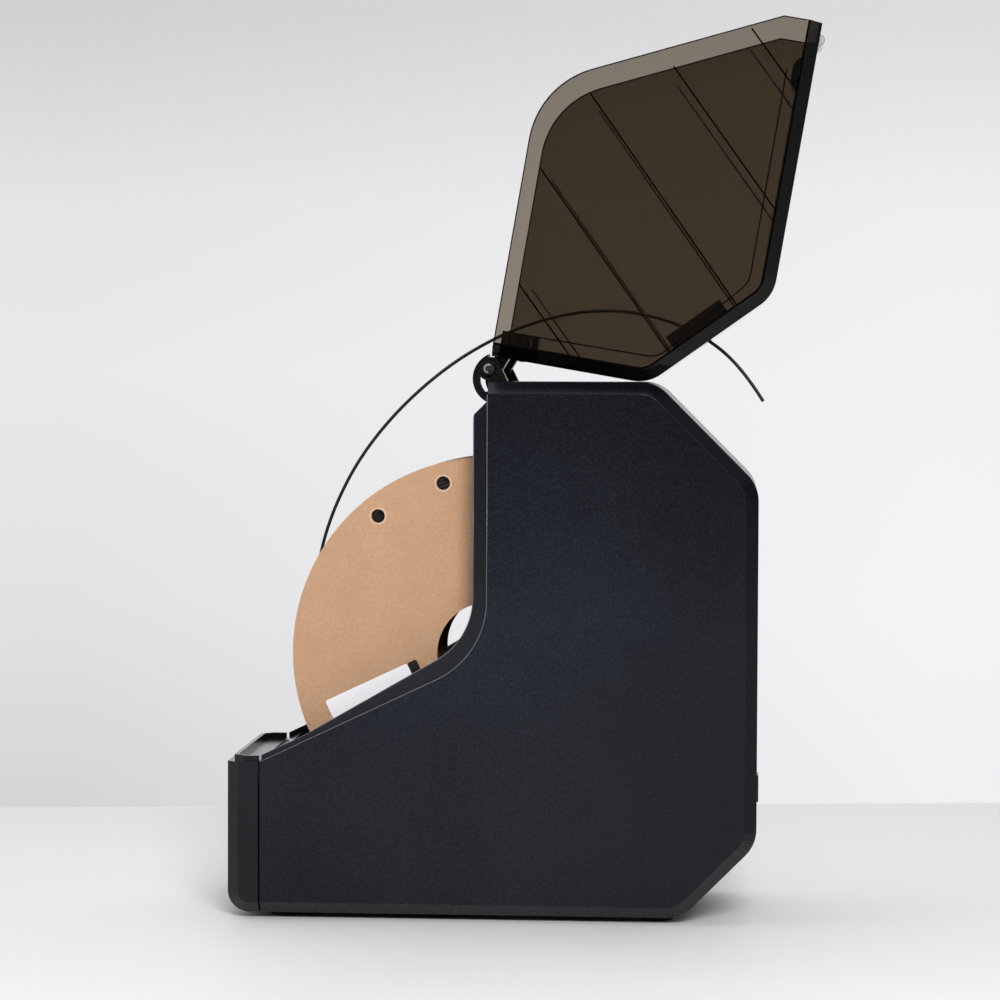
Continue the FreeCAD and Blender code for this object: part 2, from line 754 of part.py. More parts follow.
def arm_y(side):
    """Middle of a hood arm, just inside its bracket."""
    return f"{side} * (bracket_spread / 2 - bracket_width / 2 - arm_gap - arm_width / 2)"


def make_hinge():
    inner_top = f"(-hinge_rise - {TUB_IN} - tub_wall)"
    hook = ("hook_back", "-hook_below")
    for name, side in SIDES.items():
        bracket = new_body(f"bracket_{name}")
        ring = sketch_on(bracket, "XZ_Plane")
        circle(ring, hook, "hook_radius")
        circle(ring, hook, "hook_radius - hook_wall")
        pad(bracket, ring, "bracket_width")
        behind = sketch_on(bracket, "XZ_Plane")
        rectangle(behind, "0", f"hook_back + hook_radius + {OVERCUT}",
                  f"-hook_below - hook_radius - {OVERCUT}", f"-hook_below + hook_radius + {OVERCUT}")
        pocket(bracket, behind)
        foot = sketch_on(bracket, "XZ_Plane")
        polygon(foot, [("0", "-hinge_rise"), ("bracket_foot", "-hinge_rise"),
                       ("bracket_foot / 2", "knuckle_radius / 2"), ("0", "knuckle_radius / 2")])
        pad(bracket, foot, "bracket_width")
        knuckle = sketch_on(bracket, "XZ_Plane")
        circle(knuckle, ("0", "0"), "knuckle_radius")
        pad(bracket, knuckle, "bracket_width")
        leaf = sketch_on(bracket, "XZ_Plane")
        rectangle(leaf, "-hook_wall / 2", "bracket_leaf", f"{inner_top} - hook_wall", inner_top)
        pad(bracket, leaf, "bracket_width")
        bore = sketch_on(bracket, "XZ_Plane")
        circle(bore, ("0", "0"), "rod_radius + rod_fit")
        pocket(bracket, bore)
        place(bracket, "-opening_ahead", f"{side} * bracket_spread / 2", "height + hinge_rise")
        node(f"hinge_bracket_{name}", bracket)

        arm = new_body(f"arm_{name}")
        knuckle = sketch_on(arm, "XZ_Plane")
        circle(knuckle, ("0", "0"), "knuckle_radius")
        pad(arm, knuckle, "arm_width")
        web = sketch_on(arm, "XZ_Plane")
        polygon(web, [("-knuckle_radius", "0"), ("0", "0"), ("-2 * lid_gap", "-hinge_rise + lid_gap"),
                      ("-arm_block_start", f"-hinge_rise - lid_wall - {OVERCUT}"),
                      (f"-notch_depth + {OVERCUT}", f"-hinge_rise - lid_wall - {OVERCUT}")])
        pad(arm, web, "arm_width")
        block = sketch_on(arm, "XZ_Plane")
        rectangle(block, "-arm_block_end", "-arm_block_start",
                  "-hinge_rise - lid_wall - arm_block_height", "-hinge_rise - lid_wall")
        pad(arm, block, "arm_width")
        bore = sketch_on(arm, "XZ_Plane")
        circle(bore, ("0", "0"), "rod_radius + rod_fit")
        pocket(arm, bore)
        node(f"lid_hinge_arm_{name}", hang_on_hinge(arm, arm_y(side)))

    rod = cylinder("rod", "rod_radius", "rod_length", "-opening_ahead", "-rod_length / 2",
                   "height + hinge_rise", "y")
    node("hinge_rod", rod)


def make_rollers():
    end = "roller_length / 2"
    tyre = f"({end} - tyre_width)"
    stations = [
        (f"-{end}", "roller_radius"), (f"-{tyre}", "roller_radius"), (f"-{tyre}", "roller_barrel"),
        (tyre, "roller_barrel"), (tyre, "roller_radius"), (end, "roller_radius"),
    ]
    bore = "axle_radius + axle_fit"
    profile = [(bore, f"-{end}")] + [(r, y) for y, r in stations] + [(bore, end)]
    for name, side in (("front", -1), ("rear", 1)):
        x = f"-spool_ahead + {side} * roller_spread / 2"
        roller = new_body(f"roller_{name}")
        half = sketch_on(roller, "XY_Plane")
        polygon(half, profile)
        turned = roller.newObject("PartDesign::Revolution", f"roller_{name}_turned")
        turned.Profile = half
        turned.ReferenceAxis = (half, ["V_Axis"])
        turned.Angle = 360
        doc.recompute()
        node(f"{name}_roller", place(roller, x, "0", ROLLER_Z))
        axle = cylinder(f"axle_{name}", "axle_radius", f"2 * {POST_REACH}", x, f"-{POST_REACH}",
                        ROLLER_Z, "y")
        node(f"{name}_roller_axle", axle)


def make_spool():
    for name, side in (("near", -1), ("far", 1)):
        flange = new_body(f"flange_{name}")
        disc = sketch_on(flange, "XZ_Plane")
        circle(disc, ("0", "0"), "spool_radius")
        circle(disc, ("0", "0"), "hub_radius")
        for angle in PEEP_ANGLES:
            circle(disc, (f"peep_ring * cos({angle})", f"peep_ring * sin({angle})"), "peep_radius")
        pad(flange, disc, "flange_thick")
        y = f"{side} * (spool_width - flange_thick) / 2"
        node(f"spool_flange_{name}", place(flange, "-spool_ahead", y, "spool_height"))
    rings = {
        "spool_core": ("core_radius", "core_radius - core_wall"),
        "filament_pack": ("pack_radius", "core_radius + wire_gap"),
    }
    for name, (outer, inner) in rings.items():
        tube = new_body(f"{name}_tube")
        ring = sketch_on(tube, "XZ_Plane")
        circle(ring, ("0", "0"), outer)
        circle(ring, ("0", "0"), inner)
        trim = "" if name == "spool_core" else " - 2 * wire_gap"
        pad(tube, ring, f"spool_width - 2 * flange_thick{trim}")
        node(name, place(tube, "-spool_ahead", "0", "spool_height"))
    node("filament_winding", make_winding())


def biarc(start, start_way, end, end_way):
    """Two arcs that leave start along its way and reach end along its way."""
    chord = end - start
    ways = start_way + end_way
    along = chord.dot(ways)
    square = 2 * (1 - start_way.dot(end_way))
    reach = (math.sqrt(along**2 + square * chord.dot(chord)) - along) / square
    a = start + start_way * reach
    b = end - end_way * reach
    middle = (a + b) * 0.5
    edges = []
    for p, q, way in ((start, middle, start_way), (middle, end, (b - a).normalize())):
        bulge = arc_middle(p, q, way)
        edges.append(Part.Arc(p, bulge, q).toShape())
    return edges


def arc_middle(start, end, way):
    """The half-way point of the arc from start to end that leaves along way."""
    chord = end - start
    side = way - chord * (way.dot(chord) / chord.dot(chord))
    half_turn = math.acos(min(1.0, way.dot(chord) / chord.Length))
    sagitta = chord.Length / 2 * math.tan(half_turn / 2)
    return start + chord * 0.5 + side.normalize() * sagitta


def flat_section(centre, way, sides):
    """A many-sided outline square to way, with the round wire's area and a flat towards X."""
    corner = size("wire_radius") * math.sqrt(2 * math.pi / (sides * math.sin(2 * math.pi / sides)))
    across = way.cross(Vector(1, 0, 0)).normalize()
    up = across.cross(way).normalize()
    angles = [2 * math.pi * (i + 0.5) / sides for i in range(sides + 1)]
    return Part.makePolygon([centre + (up * math.cos(a) + across * math.sin(a)) * corner for a in angles])


def make_winding():
    """The outer layer of filament: one unbroken tube of even turns over the plain layers."""
    radius = size("pack_radius + wire_gap + wire_radius")
    pitch = size("turn_pitch")
    wire = size("wire_radius")

    def spot(turn):
        angle = math.radians(LEAVE_ANGLE) + 2 * math.pi * turn
        point = Vector(radius * math.cos(angle), pitch * turn, radius * math.sin(angle))
        way = Vector(-radius * math.sin(angle), pitch / (2 * math.pi), radius * math.cos(angle))
        return point, way.normalize()

    edges = []
    spots = [spot(i / ARCS_PER_TURN - TURNS / 2) for i in range(ARCS_PER_TURN * TURNS + 1)]
    for (p, p_way), (q, q_way) in zip(spots, spots[1:]):
        edges += biarc(p, p_way, q, q_way)
    path = Part.Wire(edges)
    tube = path.makePipeShell([flat_section(*spots[0], WINDING_SIDES)], True, False)
    print(f"filament_winding: least gap {winding_gap(edges, wire):.3f} mm, "
          f"volume ratio {tube.Volume / (math.pi * wire**2 * path.Length):.4f}")
    piece = doc.addObject("Part::Feature", "winding")
    piece.Shape = tube
    return place(piece, "-spool_ahead", "0", "spool_height")


def winding_gap(edges, wire):
    """Least gap between one turn and the next, on points along the tube's middle."""
    per_turn = len(edges) // TURNS
    least = math.inf
    for first, second in zip(edges, edges[per_turn:]):
        for p, q in zip(first.discretize(GAP_POINTS), second.discretize(GAP_POINTS)):
            least = min(least, (p - q).Length - 2 * wire)
    return least


# Free end of the filament, as chosen points: off the spool, up into the hood and out of it
STRAND_ROUTE = [
    (-96.6, 0.0, 152.0),
    (-94.6, 0.0, 176.2),
    (-86.6, 0.0, 204.8),
    (-71.3, 0.0, 234.5),
    (-47.7, 0.0, 262.4),
    (-18.0, 0.0, 286.3),
    (14.9, 0.0, 302.3),
    (49.9, 0.0, 309.7),
    (81.3, 0.0, 306.2),
    (108.5, 0.0, 294.0),
    (126.3, 0.0, 277.5),
    (135.9, 0.0, 262.3),
]
ARC_SHARE = 0.45


def make_strand():
    """A round tube along straight runs joined by tangent arcs."""
    points = [Vector(*p) for p in STRAND_ROUTE]
    wire = size("wire_radius")
    edges = []
    radii = []
    last = points[0]
    for a, b, c in zip(points, points[1:], points[2:]):
        into = (b - a).normalize()
        out = (c - b).normalize()
        turn = math.acos(into.dot(out))
        trim = ARC_SHARE * min((b - a).Length, (c - b).Length)
        radius = trim / math.tan(turn / 2)
        radii.append(radius)
        start = b - into * trim
        end = b + out * trim
        middle = b + (out - into).normalize() * (radius / math.cos(turn / 2) - radius)
        edges.append(Part.LineSegment(last, start).toShape())
        edges.append(Part.Arc(start, middle, end).toShape())
        last = end
    edges.append(Part.LineSegment(last, points[-1]).toShape())
    path = Part.Wire(edges)
    section = flat_section(points[0], (points[1] - points[0]).normalize(), STRAND_SIDES)
    tube = path.makePipeShell([section], True, False)
    print("filament_strand: radii " + ", ".join(f"{r:.0f}" for r in radii))
    print(f"filament_strand: length {path.Length:.1f} mm, "
          f"volume ratio {tube.Volume / (math.pi * wire**2 * path.Length):.4f}")
    piece = doc.addObject("Part::Feature", "strand")
    piece.Shape = tube
    node("filament_strand", piece)


def make_fan():
    frame = new_body("fan")
    square = sketch_on(frame, "XY_Plane")
    rectangle(square, "-fan_size / 2", "fan_size / 2", "-fan_size / 2", "fan_size / 2")
    circle(square, ("0", "0"), "fan_throat")
    pad(frame, square, "fan_depth", symmetric=False)
    motor = sketch_on(frame, "XY_Plane")
    circle(motor, ("0", "0"), "fan_hub")
    pad(frame, motor, "fan_plate", symmetric=False)
    strut = sketch_on(frame, "XY_Plane")
    rectangle(strut, f"fan_hub - {OVERCUT}", f"fan_throat + {OVERCUT}", "-strut_width / 2",
              "strut_width / 2")
    arm = pad(frame, strut, "fan_plate", symmetric=False)
    ring_of(frame, arm, strut, STRUTS)
    shaft = sketch_on(frame, "XY_Plane", f"fan_plate - {OVERLAP}")
    circle(shaft, ("0", "0"), "fan_shaft")
    pad(frame, shaft, "fan_depth / 2", symmetric=False)
    node("fan_frame", place(frame, "-fan_ahead", "0", COVER_TOP))

    rotor = new_body("impeller")
    hub = sketch_on(rotor, "XY_Plane", "fan_plate + fan_gap")
    circle(hub, ("0", "0"), "fan_hub")
    pad(rotor, hub, "fan_depth - fan_plate - 2 * fan_gap", symmetric=False)
    blade = sketch_on(rotor, "XY_Plane", "fan_plate + 2 * fan_gap")
    root = f"fan_hub - {OVERCUT}"
    bend_x, bend_y = (f"(fan_throat - fan_tip_gap) * {share}" for share in BLADE_BEND)
    tip_x, tip_y = (f"(fan_throat - fan_tip_gap) * {share}" for share in BLADE_TIP)
    polygon(blade, [(root, "0"), (bend_x, bend_y), (tip_x, tip_y), (f"{tip_x} - blade_thick", tip_y),
                    (f"{bend_x} - blade_thick", bend_y), (root, "blade_thick")])
    one = pad(rotor, blade, "fan_depth - fan_plate - 4 * fan_gap", symmetric=False)
    ring_of(rotor, one, blade, BLADES)
    bore = sketch_on(rotor, "XY_Plane", "fan_plate + fan_depth / 2 + fan_gap")
    circle(bore, ("0", "0"), "fan_shaft + axle_fit")
    pocket(rotor, bore, "fan_depth", symmetric=False)
    node("fan_impeller", place(rotor, "-fan_ahead", "0", COVER_TOP))

    grille = new_body("grille")
    plate = sketch_on(grille, "XY_Plane", "tub_floor")
    rectangle(plate, "-fan_ahead - grille_length / 2", "-fan_ahead + grille_length / 2",
              "-grille_width / 2", "grille_width / 2")
    pad(grille, plate, "grille_thick", symmetric=False)
    slot = sketch_on(grille, "XY_Plane")
    row = f"({SLOTS - 1} * slot_pitch)"
    rectangle(slot, "-fan_ahead - grille_length / 2 + 2 * grille_lap",
              "-fan_ahead + grille_length / 2 - 2 * grille_lap",
              f"-{row} / 2 - slot_width / 2", f"-{row} / 2 + slot_width / 2")
    gap = pocket(grille, slot)
    row_of(grille, gap, slot, "V_Axis", row, SLOTS)
    node("air_grille", grille)


def make_electrics():
    heater = new_body("heater")
    base = sketch_on(heater, "XY_Plane", COVER_TOP)
    x_low = "-heater_ahead - heater_length / 2"
    x_high = "-heater_ahead + heater_length / 2"
    rectangle(base, x_low, x_high, "-heater_width / 2", "heater_width / 2")
    pad(heater, base, "heater_base", symmetric=False)
    fin = sketch_on(heater, "XY_Plane", f"{COVER_TOP} + heater_base - {OVERLAP}")
    row = f"({FINS - 1} * fin_pitch)"
    rectangle(fin, x_low, x_high, f"-{row} / 2 - fin_thick / 2", f"-{row} / 2 + fin_thick / 2")
    one = pad(heater, fin, "heater_height - heater_base", symmetric=False)
    row_of(heater, one, fin, "V_Axis", row, FINS)
    node("heater_block", heater)

    board = new_body("board")
    card = sketch_on(board, "XY_Plane", f"{COVER_TOP} + post_height")
    rectangle(card, "-board_ahead - board_length / 2", "-board_ahead + board_length / 2",
              "-board_width / 2", "board_width / 2")
    pad(board, card, "board_thick", symmetric=False)
    chips = sketch_on(board, "XY_Plane", f"{COVER_TOP} + post_height + board_thick - {OVERLAP}")
    for x, y, half in CHIPS:
        rectangle(chips, f"-board_ahead + {x - half}", f"-board_ahead + {x + half}",
                  f"{y} - chip_width / 2", f"{y} + chip_width / 2")
    pad(board, chips, "chip_height", symmetric=False)
    node("main_board", board)

    card = box("sensor_card", f"{TUB_BACK} - board_thick", "-sensor_size / 2", "sensor_rise",
               "board_thick", "sensor_size", "sensor_length")
    cap = box("sensor_cap", f"{TUB_BACK} - board_thick - sensor_height", "-sensor_size / 4",
              "sensor_rise + sensor_size / 2", f"sensor_height + {OVERLAP}", "sensor_size / 2",
              "sensor_size / 2")
    node("humidity_sensor", joined("sensor", [card, cap]))

    inlet = new_body("inlet")
    flange = sketch_on(inlet, "YZ_Plane")
    rectangle(flange, "-inlet_flange / 2", "inlet_flange / 2", "-inlet_flange / 2", "inlet_flange / 2")
    pad(inlet, flange, "inlet_flange_thick", symmetric=False)
    barrel = sketch_on(inlet, "YZ_Plane", "-inlet_length")
    rectangle(barrel, "-inlet_size / 2", "inlet_size / 2", "-inlet_size / 2", "inlet_size / 2")
    pad(inlet, barrel, f"inlet_length + {OVERLAP}", symmetric=False)
    socket = sketch_on(inlet, "YZ_Plane", "inlet_flange_thick")
    circle(socket, ("0", "0"), "inlet_bore")
    circle(socket, ("0", "0"), "inlet_pin")
    pocket(inlet, socket, "inlet_bore_depth", symmetric=False)
    node("power_inlet", place(inlet, BACK, "inlet_side", "inlet_rise"))


def check_and_write():
    """Stop on any failed feature or bad solid, then write one file for each piece."""
    doc.recompute()
    for item in doc.Objects:
        if "Invalid" in item.State or "Error" in item.State:
            raise RuntimeError(f"{item.Name} failed: {item.State}")
    os.makedirs("parts", exist_ok=True)
    for name, item in nodes.items():
        shape = item.Shape
        if shape.isNull() or not shape.isValid() or not shape.Solids:
            raise RuntimeError(f"{name} has no valid solid")
        print(f"{name}: {len(shape.Solids)} solid(s), {shape.Volume / 1000:.2f} cm3")
    for name, item in nodes.items():
        item.Shape.exportStep(f"parts/{name}.step")


make_housing()
make_tub()
make_front_panel()
make_base()
make_hood()
make_outlet()
make_hinge()
make_rollers()
make_spool()
make_strand()
make_fan()
make_electrics()
check_and_write()
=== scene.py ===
"""Looks of the filament dryer box: filament, trim, label, screws, finishes, and the studio round it."""

import math

import bpy
from mathutils import Matrix, Vector


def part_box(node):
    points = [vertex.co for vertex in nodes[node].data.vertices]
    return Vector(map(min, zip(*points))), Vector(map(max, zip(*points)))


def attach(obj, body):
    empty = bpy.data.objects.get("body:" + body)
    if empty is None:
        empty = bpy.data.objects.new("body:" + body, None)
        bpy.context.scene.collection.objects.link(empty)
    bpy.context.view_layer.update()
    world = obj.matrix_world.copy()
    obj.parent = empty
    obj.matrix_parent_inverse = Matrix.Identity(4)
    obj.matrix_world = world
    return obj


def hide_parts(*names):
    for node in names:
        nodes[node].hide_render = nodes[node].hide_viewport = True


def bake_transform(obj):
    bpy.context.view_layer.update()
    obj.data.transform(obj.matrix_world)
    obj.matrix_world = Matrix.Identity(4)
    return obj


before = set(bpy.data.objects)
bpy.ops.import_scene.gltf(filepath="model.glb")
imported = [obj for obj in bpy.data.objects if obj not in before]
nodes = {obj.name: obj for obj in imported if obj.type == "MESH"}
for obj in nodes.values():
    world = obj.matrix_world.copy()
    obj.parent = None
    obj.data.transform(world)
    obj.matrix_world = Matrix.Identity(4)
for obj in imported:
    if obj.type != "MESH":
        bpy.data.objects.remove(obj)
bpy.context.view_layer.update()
scene = bpy.context.scene
MM = 0.001

# Lengths below are in millimetres, angles in degrees and ramps are stops of (place, grey or colour),
# unless a comment says otherwise. Places in two numbers are X and Z.

# Camera: place in metres, focal length in pixels of a 1000 pixel picture
CAMERA_PLACE = (0.1177, -1.6646, 0.2769)
CAMERA_YAW = 4.025
CAMERA_PITCH = 2.273
CAMERA_ROLL = 0.228
FOCAL_PIXELS = 3229.3
PICTURE_PIXELS = 1000
SENSOR = 36.0

# Backdrop: greys by height at its left and right, where the two meet, and its colour cast; the greys are
# painted shade, darker at the left, where the part's shadow falls, and towards the top and bottom
BACKDROP_LEFT = [(0.23, 0.66), (0.36, 0.76), (0.50, 0.815), (0.60, 0.78), (0.72, 0.63)]
BACKDROP_RIGHT = [(0.23, 0.87), (0.36, 0.905), (0.50, 0.885), (0.60, 0.86), (0.72, 0.715)]
BACKDROP_GAIN = 2.0
BACKDROP_MEET = [(0.30, 0.0), (0.56, 1.0)]
BACKDROP_CAST = (1.0, 1.0, 1.018, 1)

# Studio that lights the part: greys along one direction, and the place on a ramp of what lies square to it
STUDIO = [(0.15, 0.04), (0.35, 0.10), (0.55, 0.55), (0.75, 0.85)]
STUDIO_WAY = (-0.22, 0.46, 0.10)
MIDDLE = 0.5

# Floor: corners in metres, tones, and its colour in reflections on the glossy mouldings, a painted shade that
# darkens it there
FLOOR_CORNERS = [(-8, -8, 0), (8, -8, 0), (8, 1.45, 0), (-8, -0.67, 0)]
FLOOR_TONES = [(0.3, (0.79, 0.79, 0.80)), (0.7, (0.82, 0.82, 0.83))]
FLOOR_GLOSS = [(0.3, 0.45), (0.7, 0.6)]
FLOOR_REFLECTION_SHADE = (0.34, 0.34, 0.35, 1)

# Lamps: name, place and aim in metres, size across in metres, power in watts
LAMPS = [
    ("key_light", (0.55, -2.4, 1.6), (0.0, 0.0, 0.2), 1.1, 58.0),
    ("floor_light", (0.15, -1.15, 0.9), (0.15, -1.15, 0.0), 0.9, 4.0),
    ("top_light", (0.1, 0.1, 2.0), (0.0, 0.0, 0.2), 1.6, 6.0),
]

# Free end of the filament: the route of its solid, its smoothness and sides, and in metres its radius
STRAND_ROUTE = [
    (-96.6, 0.0, 152.0),
    (-94.6, 0.0, 176.2),
    (-86.6, 0.0, 204.8),
    (-71.3, 0.0, 234.5),
    (-47.7, 0.0, 262.4),
    (-18.0, 0.0, 286.3),
    (14.9, 0.0, 302.3),
    (49.9, 0.0, 309.7),
    (81.3, 0.0, 306.2),
    (108.5, 0.0, 294.0),
    (126.3, 0.0, 277.5),
    (135.9, 0.0, 262.3),
]
STRAND_STEPS = 32
STRAND_SIDES = 14
WIRE_RADIUS = 0.875 * MM

# Filament on the spool: the wound layers, and the outer turns, which start where the free end leaves them
SPOOL_AXIS = (-3.0, 133.6)
CORE_RADIUS = 48.2
PACK_RADIUS = 92.3
PACK_HALF_WIDTH = 28.2
PACK_SEGMENTS = 144
LAYER_PITCH = 1.76
LAYER_BULGE = 0.8
LAYER_STEPS = 5
TURNS = 30
TURN_RADIUS = 93.275
TURN_PITCH = 1.84
TURN_START = 168.9
TURN_STEPS = 120
TURN_SIDES = 8

# Spool's flanges: rims of the peep holes, as inner radius, outer radius and thickness, and the label
FLANGE_OUTSIDE = 31.0
PEEP_ANGLES = (105.0, 129.0)
PEEP_RING = 89.7
PEEP_RIM = (3.5, 4.5, 0.2)
PEEP_STEPS = 40
LABEL_CORNER = (-86.3, -FLANGE_OUTSIDE, 108.6)
LABEL_WAY = (44.6, 0, 21.0)
LABEL_LENGTH = 46.2
LABEL_TAB = 5.2
LABEL_WIDTH = 25.0
LABEL_ROUND = 1.2
LABEL_THICK = 0.18
LABEL_STEPS = 4

# Snap rings on the hinge rod, as inner radius, outer radius and thickness, and the arc that they cover
ROD_END = 50.0
CLIP = (1.5, 2.3, 0.4)
CLIP_ARC = (55, 265)
CLIP_STEPS = 24

# Softened edge of flat rings, as shares of their thickness and breadth
RING_EDGE = (0.3, 0.2)

# Screws: places on the base cover in X and Y, place on a hinge arm of the closed hood about the hinge axis
COVER_SCREWS = [(-97.0, -18.0), (-97.0, 18.0), (69.0, -18.0), (69.0, 18.0)]
COVER_BOTTOM = 3.0
ARM_SCREW = (-14.5, -7.4)
ARM_Y = 33.5

# Screw head: radius and rise of its rings, then its cross recess
HEAD_RINGS = [(2.6, 0.0), (2.5, 0.7), (1.9, 1.2)]
RECESS_HALF = 0.32
RECESS_REACH = 1.15
RECESS_TOP = 1.35
RECESS_FLOOR = 0.5
RECESS_TAPER = 0.8

# Hood: hinge axis, how far it is swung open, half its width inside and its wall
HINGE = (-2.0, 278.5)
OPEN_ANGLE = 189.75
HOOD_INSIDE = 53.5
HOOD_WALL = 2.5

# Smoked moulding: tint and how dense it is, and the painted shade that darkens the far wall's flat side
HOOD_TINT = (0.61, 0.557, 0.49, 1)
HOOD_DENSITY = 1200.0
HOOD_FAR_SHADE = (0.60, 0.565, 0.52, 1)

# Part of a face's direction that lies across the width, from which the face counts as a flat side
FLAT_SIDE = 0.97

# Diagonal moulded lines on the open hood's side walls
HOOD_LINES = [
    ((128.3, 447.2), (152.1, 414.5)),
    ((89.8, 428.6), (143.1, 354.1)),
    ((48.7, 415.2), (123.2, 308.5)),
    ((23.7, 378.6), (89.8, 284.8)),
    ((13.4, 320.8), (39.1, 284.8)),
]
LINE_WIDTH = 0.85
LINE_HEIGHT = 0.45
LINE_SIDES = 6

# Moulded step inside the open hood's near wall
HOOD_STEP = [(145.8, 427.0), (127.9, 321.7), (82.7, 284.3), (10.7, 296.2)]
STEP_ROUNDS = (12.0, 12.0)
STEP_RADIUS = 0.35

# Free edge of the closed hood's side, along which dark beads of painted shade run, from the hinge down and
# forward, about the hinge axis
HOOD_EDGE = [(-0.8, -10.5), (-0.8, -143.5), (-114.6, -196.8), (-126.0, -196.8)]
EDGE_ROUNDS = (43.5, 0.5)
EDGE_RADIUS = 0.3
TRIM_SIDES = 8
ROUND_STEPS = 8

# Painted highlights along the opening, on the housing's sides and on the liner's lip, as lighter beads that
# stand for the light their rounded
# edges catch: name, node, line, how far its corner is rounded and the radius of the bead that shows it
EDGE_HIGHLIGHTS = [
    ("housing_edge_highlight", "outer_housing", [(-116.3, 79.9), (-1.98, 134.32), (-1.98, 265.5)], 44.0, 0.35),
    ("lip_edge_highlight", "inner_tub", [(-91.4, 94.76), (-9.0, 142.47), (-9.0, 254.5)], 37.0, 0.35),
]
HIGHLIGHT_STEPS = 24

# Finger tab on the front of the closed hood: its middle about the hinge axis, half its length and its radius
FINGER_TAB = (-133.8, -192.0)
TAB_HALF = 18.2
TAB_RADIUS = 3.005
TAB_SOFT = 0.4
TAB_STEPS = 12

# Touch signs, across and up from the middle of the display window: power ring and stroke, arrows, dots
SIGN_ROW = -10.0
POWER_ACROSS = -24.0
POWER_RADII = (2.2, 1.7)
POWER_ARC = (120, 420, 15)
POWER_STROKE = (0.25, 0.4, 2.6)
ARROWS = ((-8.0, 1), (8.0, -1))
ARROW = [(-2.2, -1.0), (0.0, 1.2), (2.2, -1.0), (1.8, -1.4), (0.0, 0.4), (-1.8, -1.4)]
DOTS = 5
DOT_FIRST = 20.0
DOT_PITCH = 2.4
DOT_RADIUS = 0.7
DOT_SIDES = 12
SIGN_SUNK = 0.05
SIGN_PROUD = 0.01

# Moulded edges of solids that are rounded a little: width and nodes
SOFT_EDGES = [
    (0.7, ("outer_housing", "front_panel")),
    (0.5, ("inner_tub", "lid_catch", "outlet_block", "hinge_bracket_left", "hinge_bracket_right",
           "lid_hinge_arm_left", "lid_hinge_arm_right")),
]
SOFT_ANGLE = 35
SOFT_SEGMENTS = 2
WELD = 0.01

# Black moulding: share of clouds in its tone, painted sheen and shade that change the housing's tone by height
# and darken it to the back,
# and painted light: how much lighter its lower bevels, which face the floor, are
CLOUD_SHARE = 0.35
SHADING_GAIN = 3.0
HOUSING_SHEEN_AND_SHADE = [
    (0.05, (0.80, 0.72, 0.60)),
    (0.25, (0.90, 0.84, 0.76)),
    (0.45, (0.95, 0.95, 0.95)),
    (0.75, (0.36, 0.36, 0.38)),
]
BACK_SHADE_GAIN = 6.0
HOUSING_BACK_SHADE = [(0.10, 1.0), (0.70, 0.52)]
BEVEL_FLOOR_LIGHT = 0.026

# Kraft board: share of fibres in its tone
FIBRE_SHARE = 0.78


def add_camera():
    data = bpy.data.cameras.new("camera")
    data.sensor_width = SENSOR
    data.lens = FOCAL_PIXELS * SENSOR / PICTURE_PIXELS
    camera = bpy.data.objects.new("camera", data)
    scene.collection.objects.link(camera)
    turn = (Matrix.Rotation(math.radians(CAMERA_YAW), 4, "Z")
            @ Matrix.Rotation(math.radians(90 - CAMERA_PITCH), 4, "X")
            @ Matrix.Rotation(math.radians(CAMERA_ROLL), 4, "Z"))
    camera.matrix_world = Matrix.Translation(CAMERA_PLACE) @ turn
    scene.camera = camera


def at_width(place, y=0.0):
    """A place in X and Z, at y across the width."""
    return Vector((place[0], y, place[1]))


def on_circle(centre, radius, angle):
    """A place in X and Z on a circle; the angle is in radians."""
    return centre[0] + radius * math.cos(angle), centre[1] + radius * math.sin(angle)


def opened(x, z):
    """A point of the closed hood, about the hinge axis, as (x, z) with the hood open."""
    turn = math.radians(OPEN_ANGLE)
    return (HINGE[0] + x * math.cos(turn) + z * math.sin(turn),
            HINGE[1] - x * math.sin(turn) + z * math.cos(turn))


def opened_way(x, z):
    """A direction of the closed hood, in X and Z with the hood open."""
    return Vector(opened(x, z)) - Vector(opened(0, 0))


def rounded(points, radii, steps=ROUND_STEPS):
    """A line through (x, z) points with its inner corners turned into arcs."""
    line = [Vector(points[0])]
    for before, corner, after, radius in zip(points, points[1:], points[2:], radii):
        corner = Vector(corner)
        a, b = (Vector(before) - corner).normalized(), (Vector(after) - corner).normalized()
        half = a.angle(b) / 2
        middle = corner + (a + b).normalized() * (radius / math.sin(half))
        reach = radius / math.tan(half)
        start, end = corner + a * reach - middle, corner + b * reach - middle
        for step in range(steps + 1):
            line.append(middle + start.slerp(end, step / steps).normalized() * radius)
    return line + [Vector(points[-1])]


def spline_points(name, route, resolution):
    """Points along a smooth line that has the route's points as its control points."""
    curve = bpy.data.curves.new(name, "CURVE")
    curve.dimensions = "3D"
    curve.resolution_u = resolution
    spline = curve.splines.new("NURBS")
    spline.points.add(len(route) - 1)
    for point, place in zip(spline.points, route):
        point.co = (*(c * MM for c in place), 1)
    spline.order_u = 3
    spline.use_endpoint_u = True
    holder = bpy.data.objects.new(name, curve)
    mesh = bpy.data.meshes.new_from_object(holder)
    points = [v.co.copy() for v in mesh.vertices]
    bpy.data.objects.remove(holder)
    bpy.data.meshes.remove(mesh)
    return points


def walls(rings, sides, joined=False):
    """Faces between rings of points, with the last ring joined to the first or not."""
    faces = []
    for ring in range(rings if joined else rings - 1):
        a, b = ring * sides, (ring + 1) % rings * sides
        for i in range(sides):
            j = (i + 1) % sides
            faces.append((a + i, a + j, b + j, b + i))
    return faces


def closed_faces(rings, sides, flipped=False):
    """Faces of a closed form: walls between rings of points and a cap at each end."""
    last = (rings - 1) * sides
    faces = walls(rings, sides) + [tuple(reversed(range(sides))), tuple(range(last, last + sides))]
    return [face[::-1] for face in faces] if flipped else faces


def merged(forms):
    """Several forms, each vertices and faces, as one."""
    vertices, faces = [], []
    for more_vertices, more_faces in forms:
        faces += [tuple(i + len(vertices) for i in face) for face in more_faces]
        vertices += more_vertices
    return vertices, faces


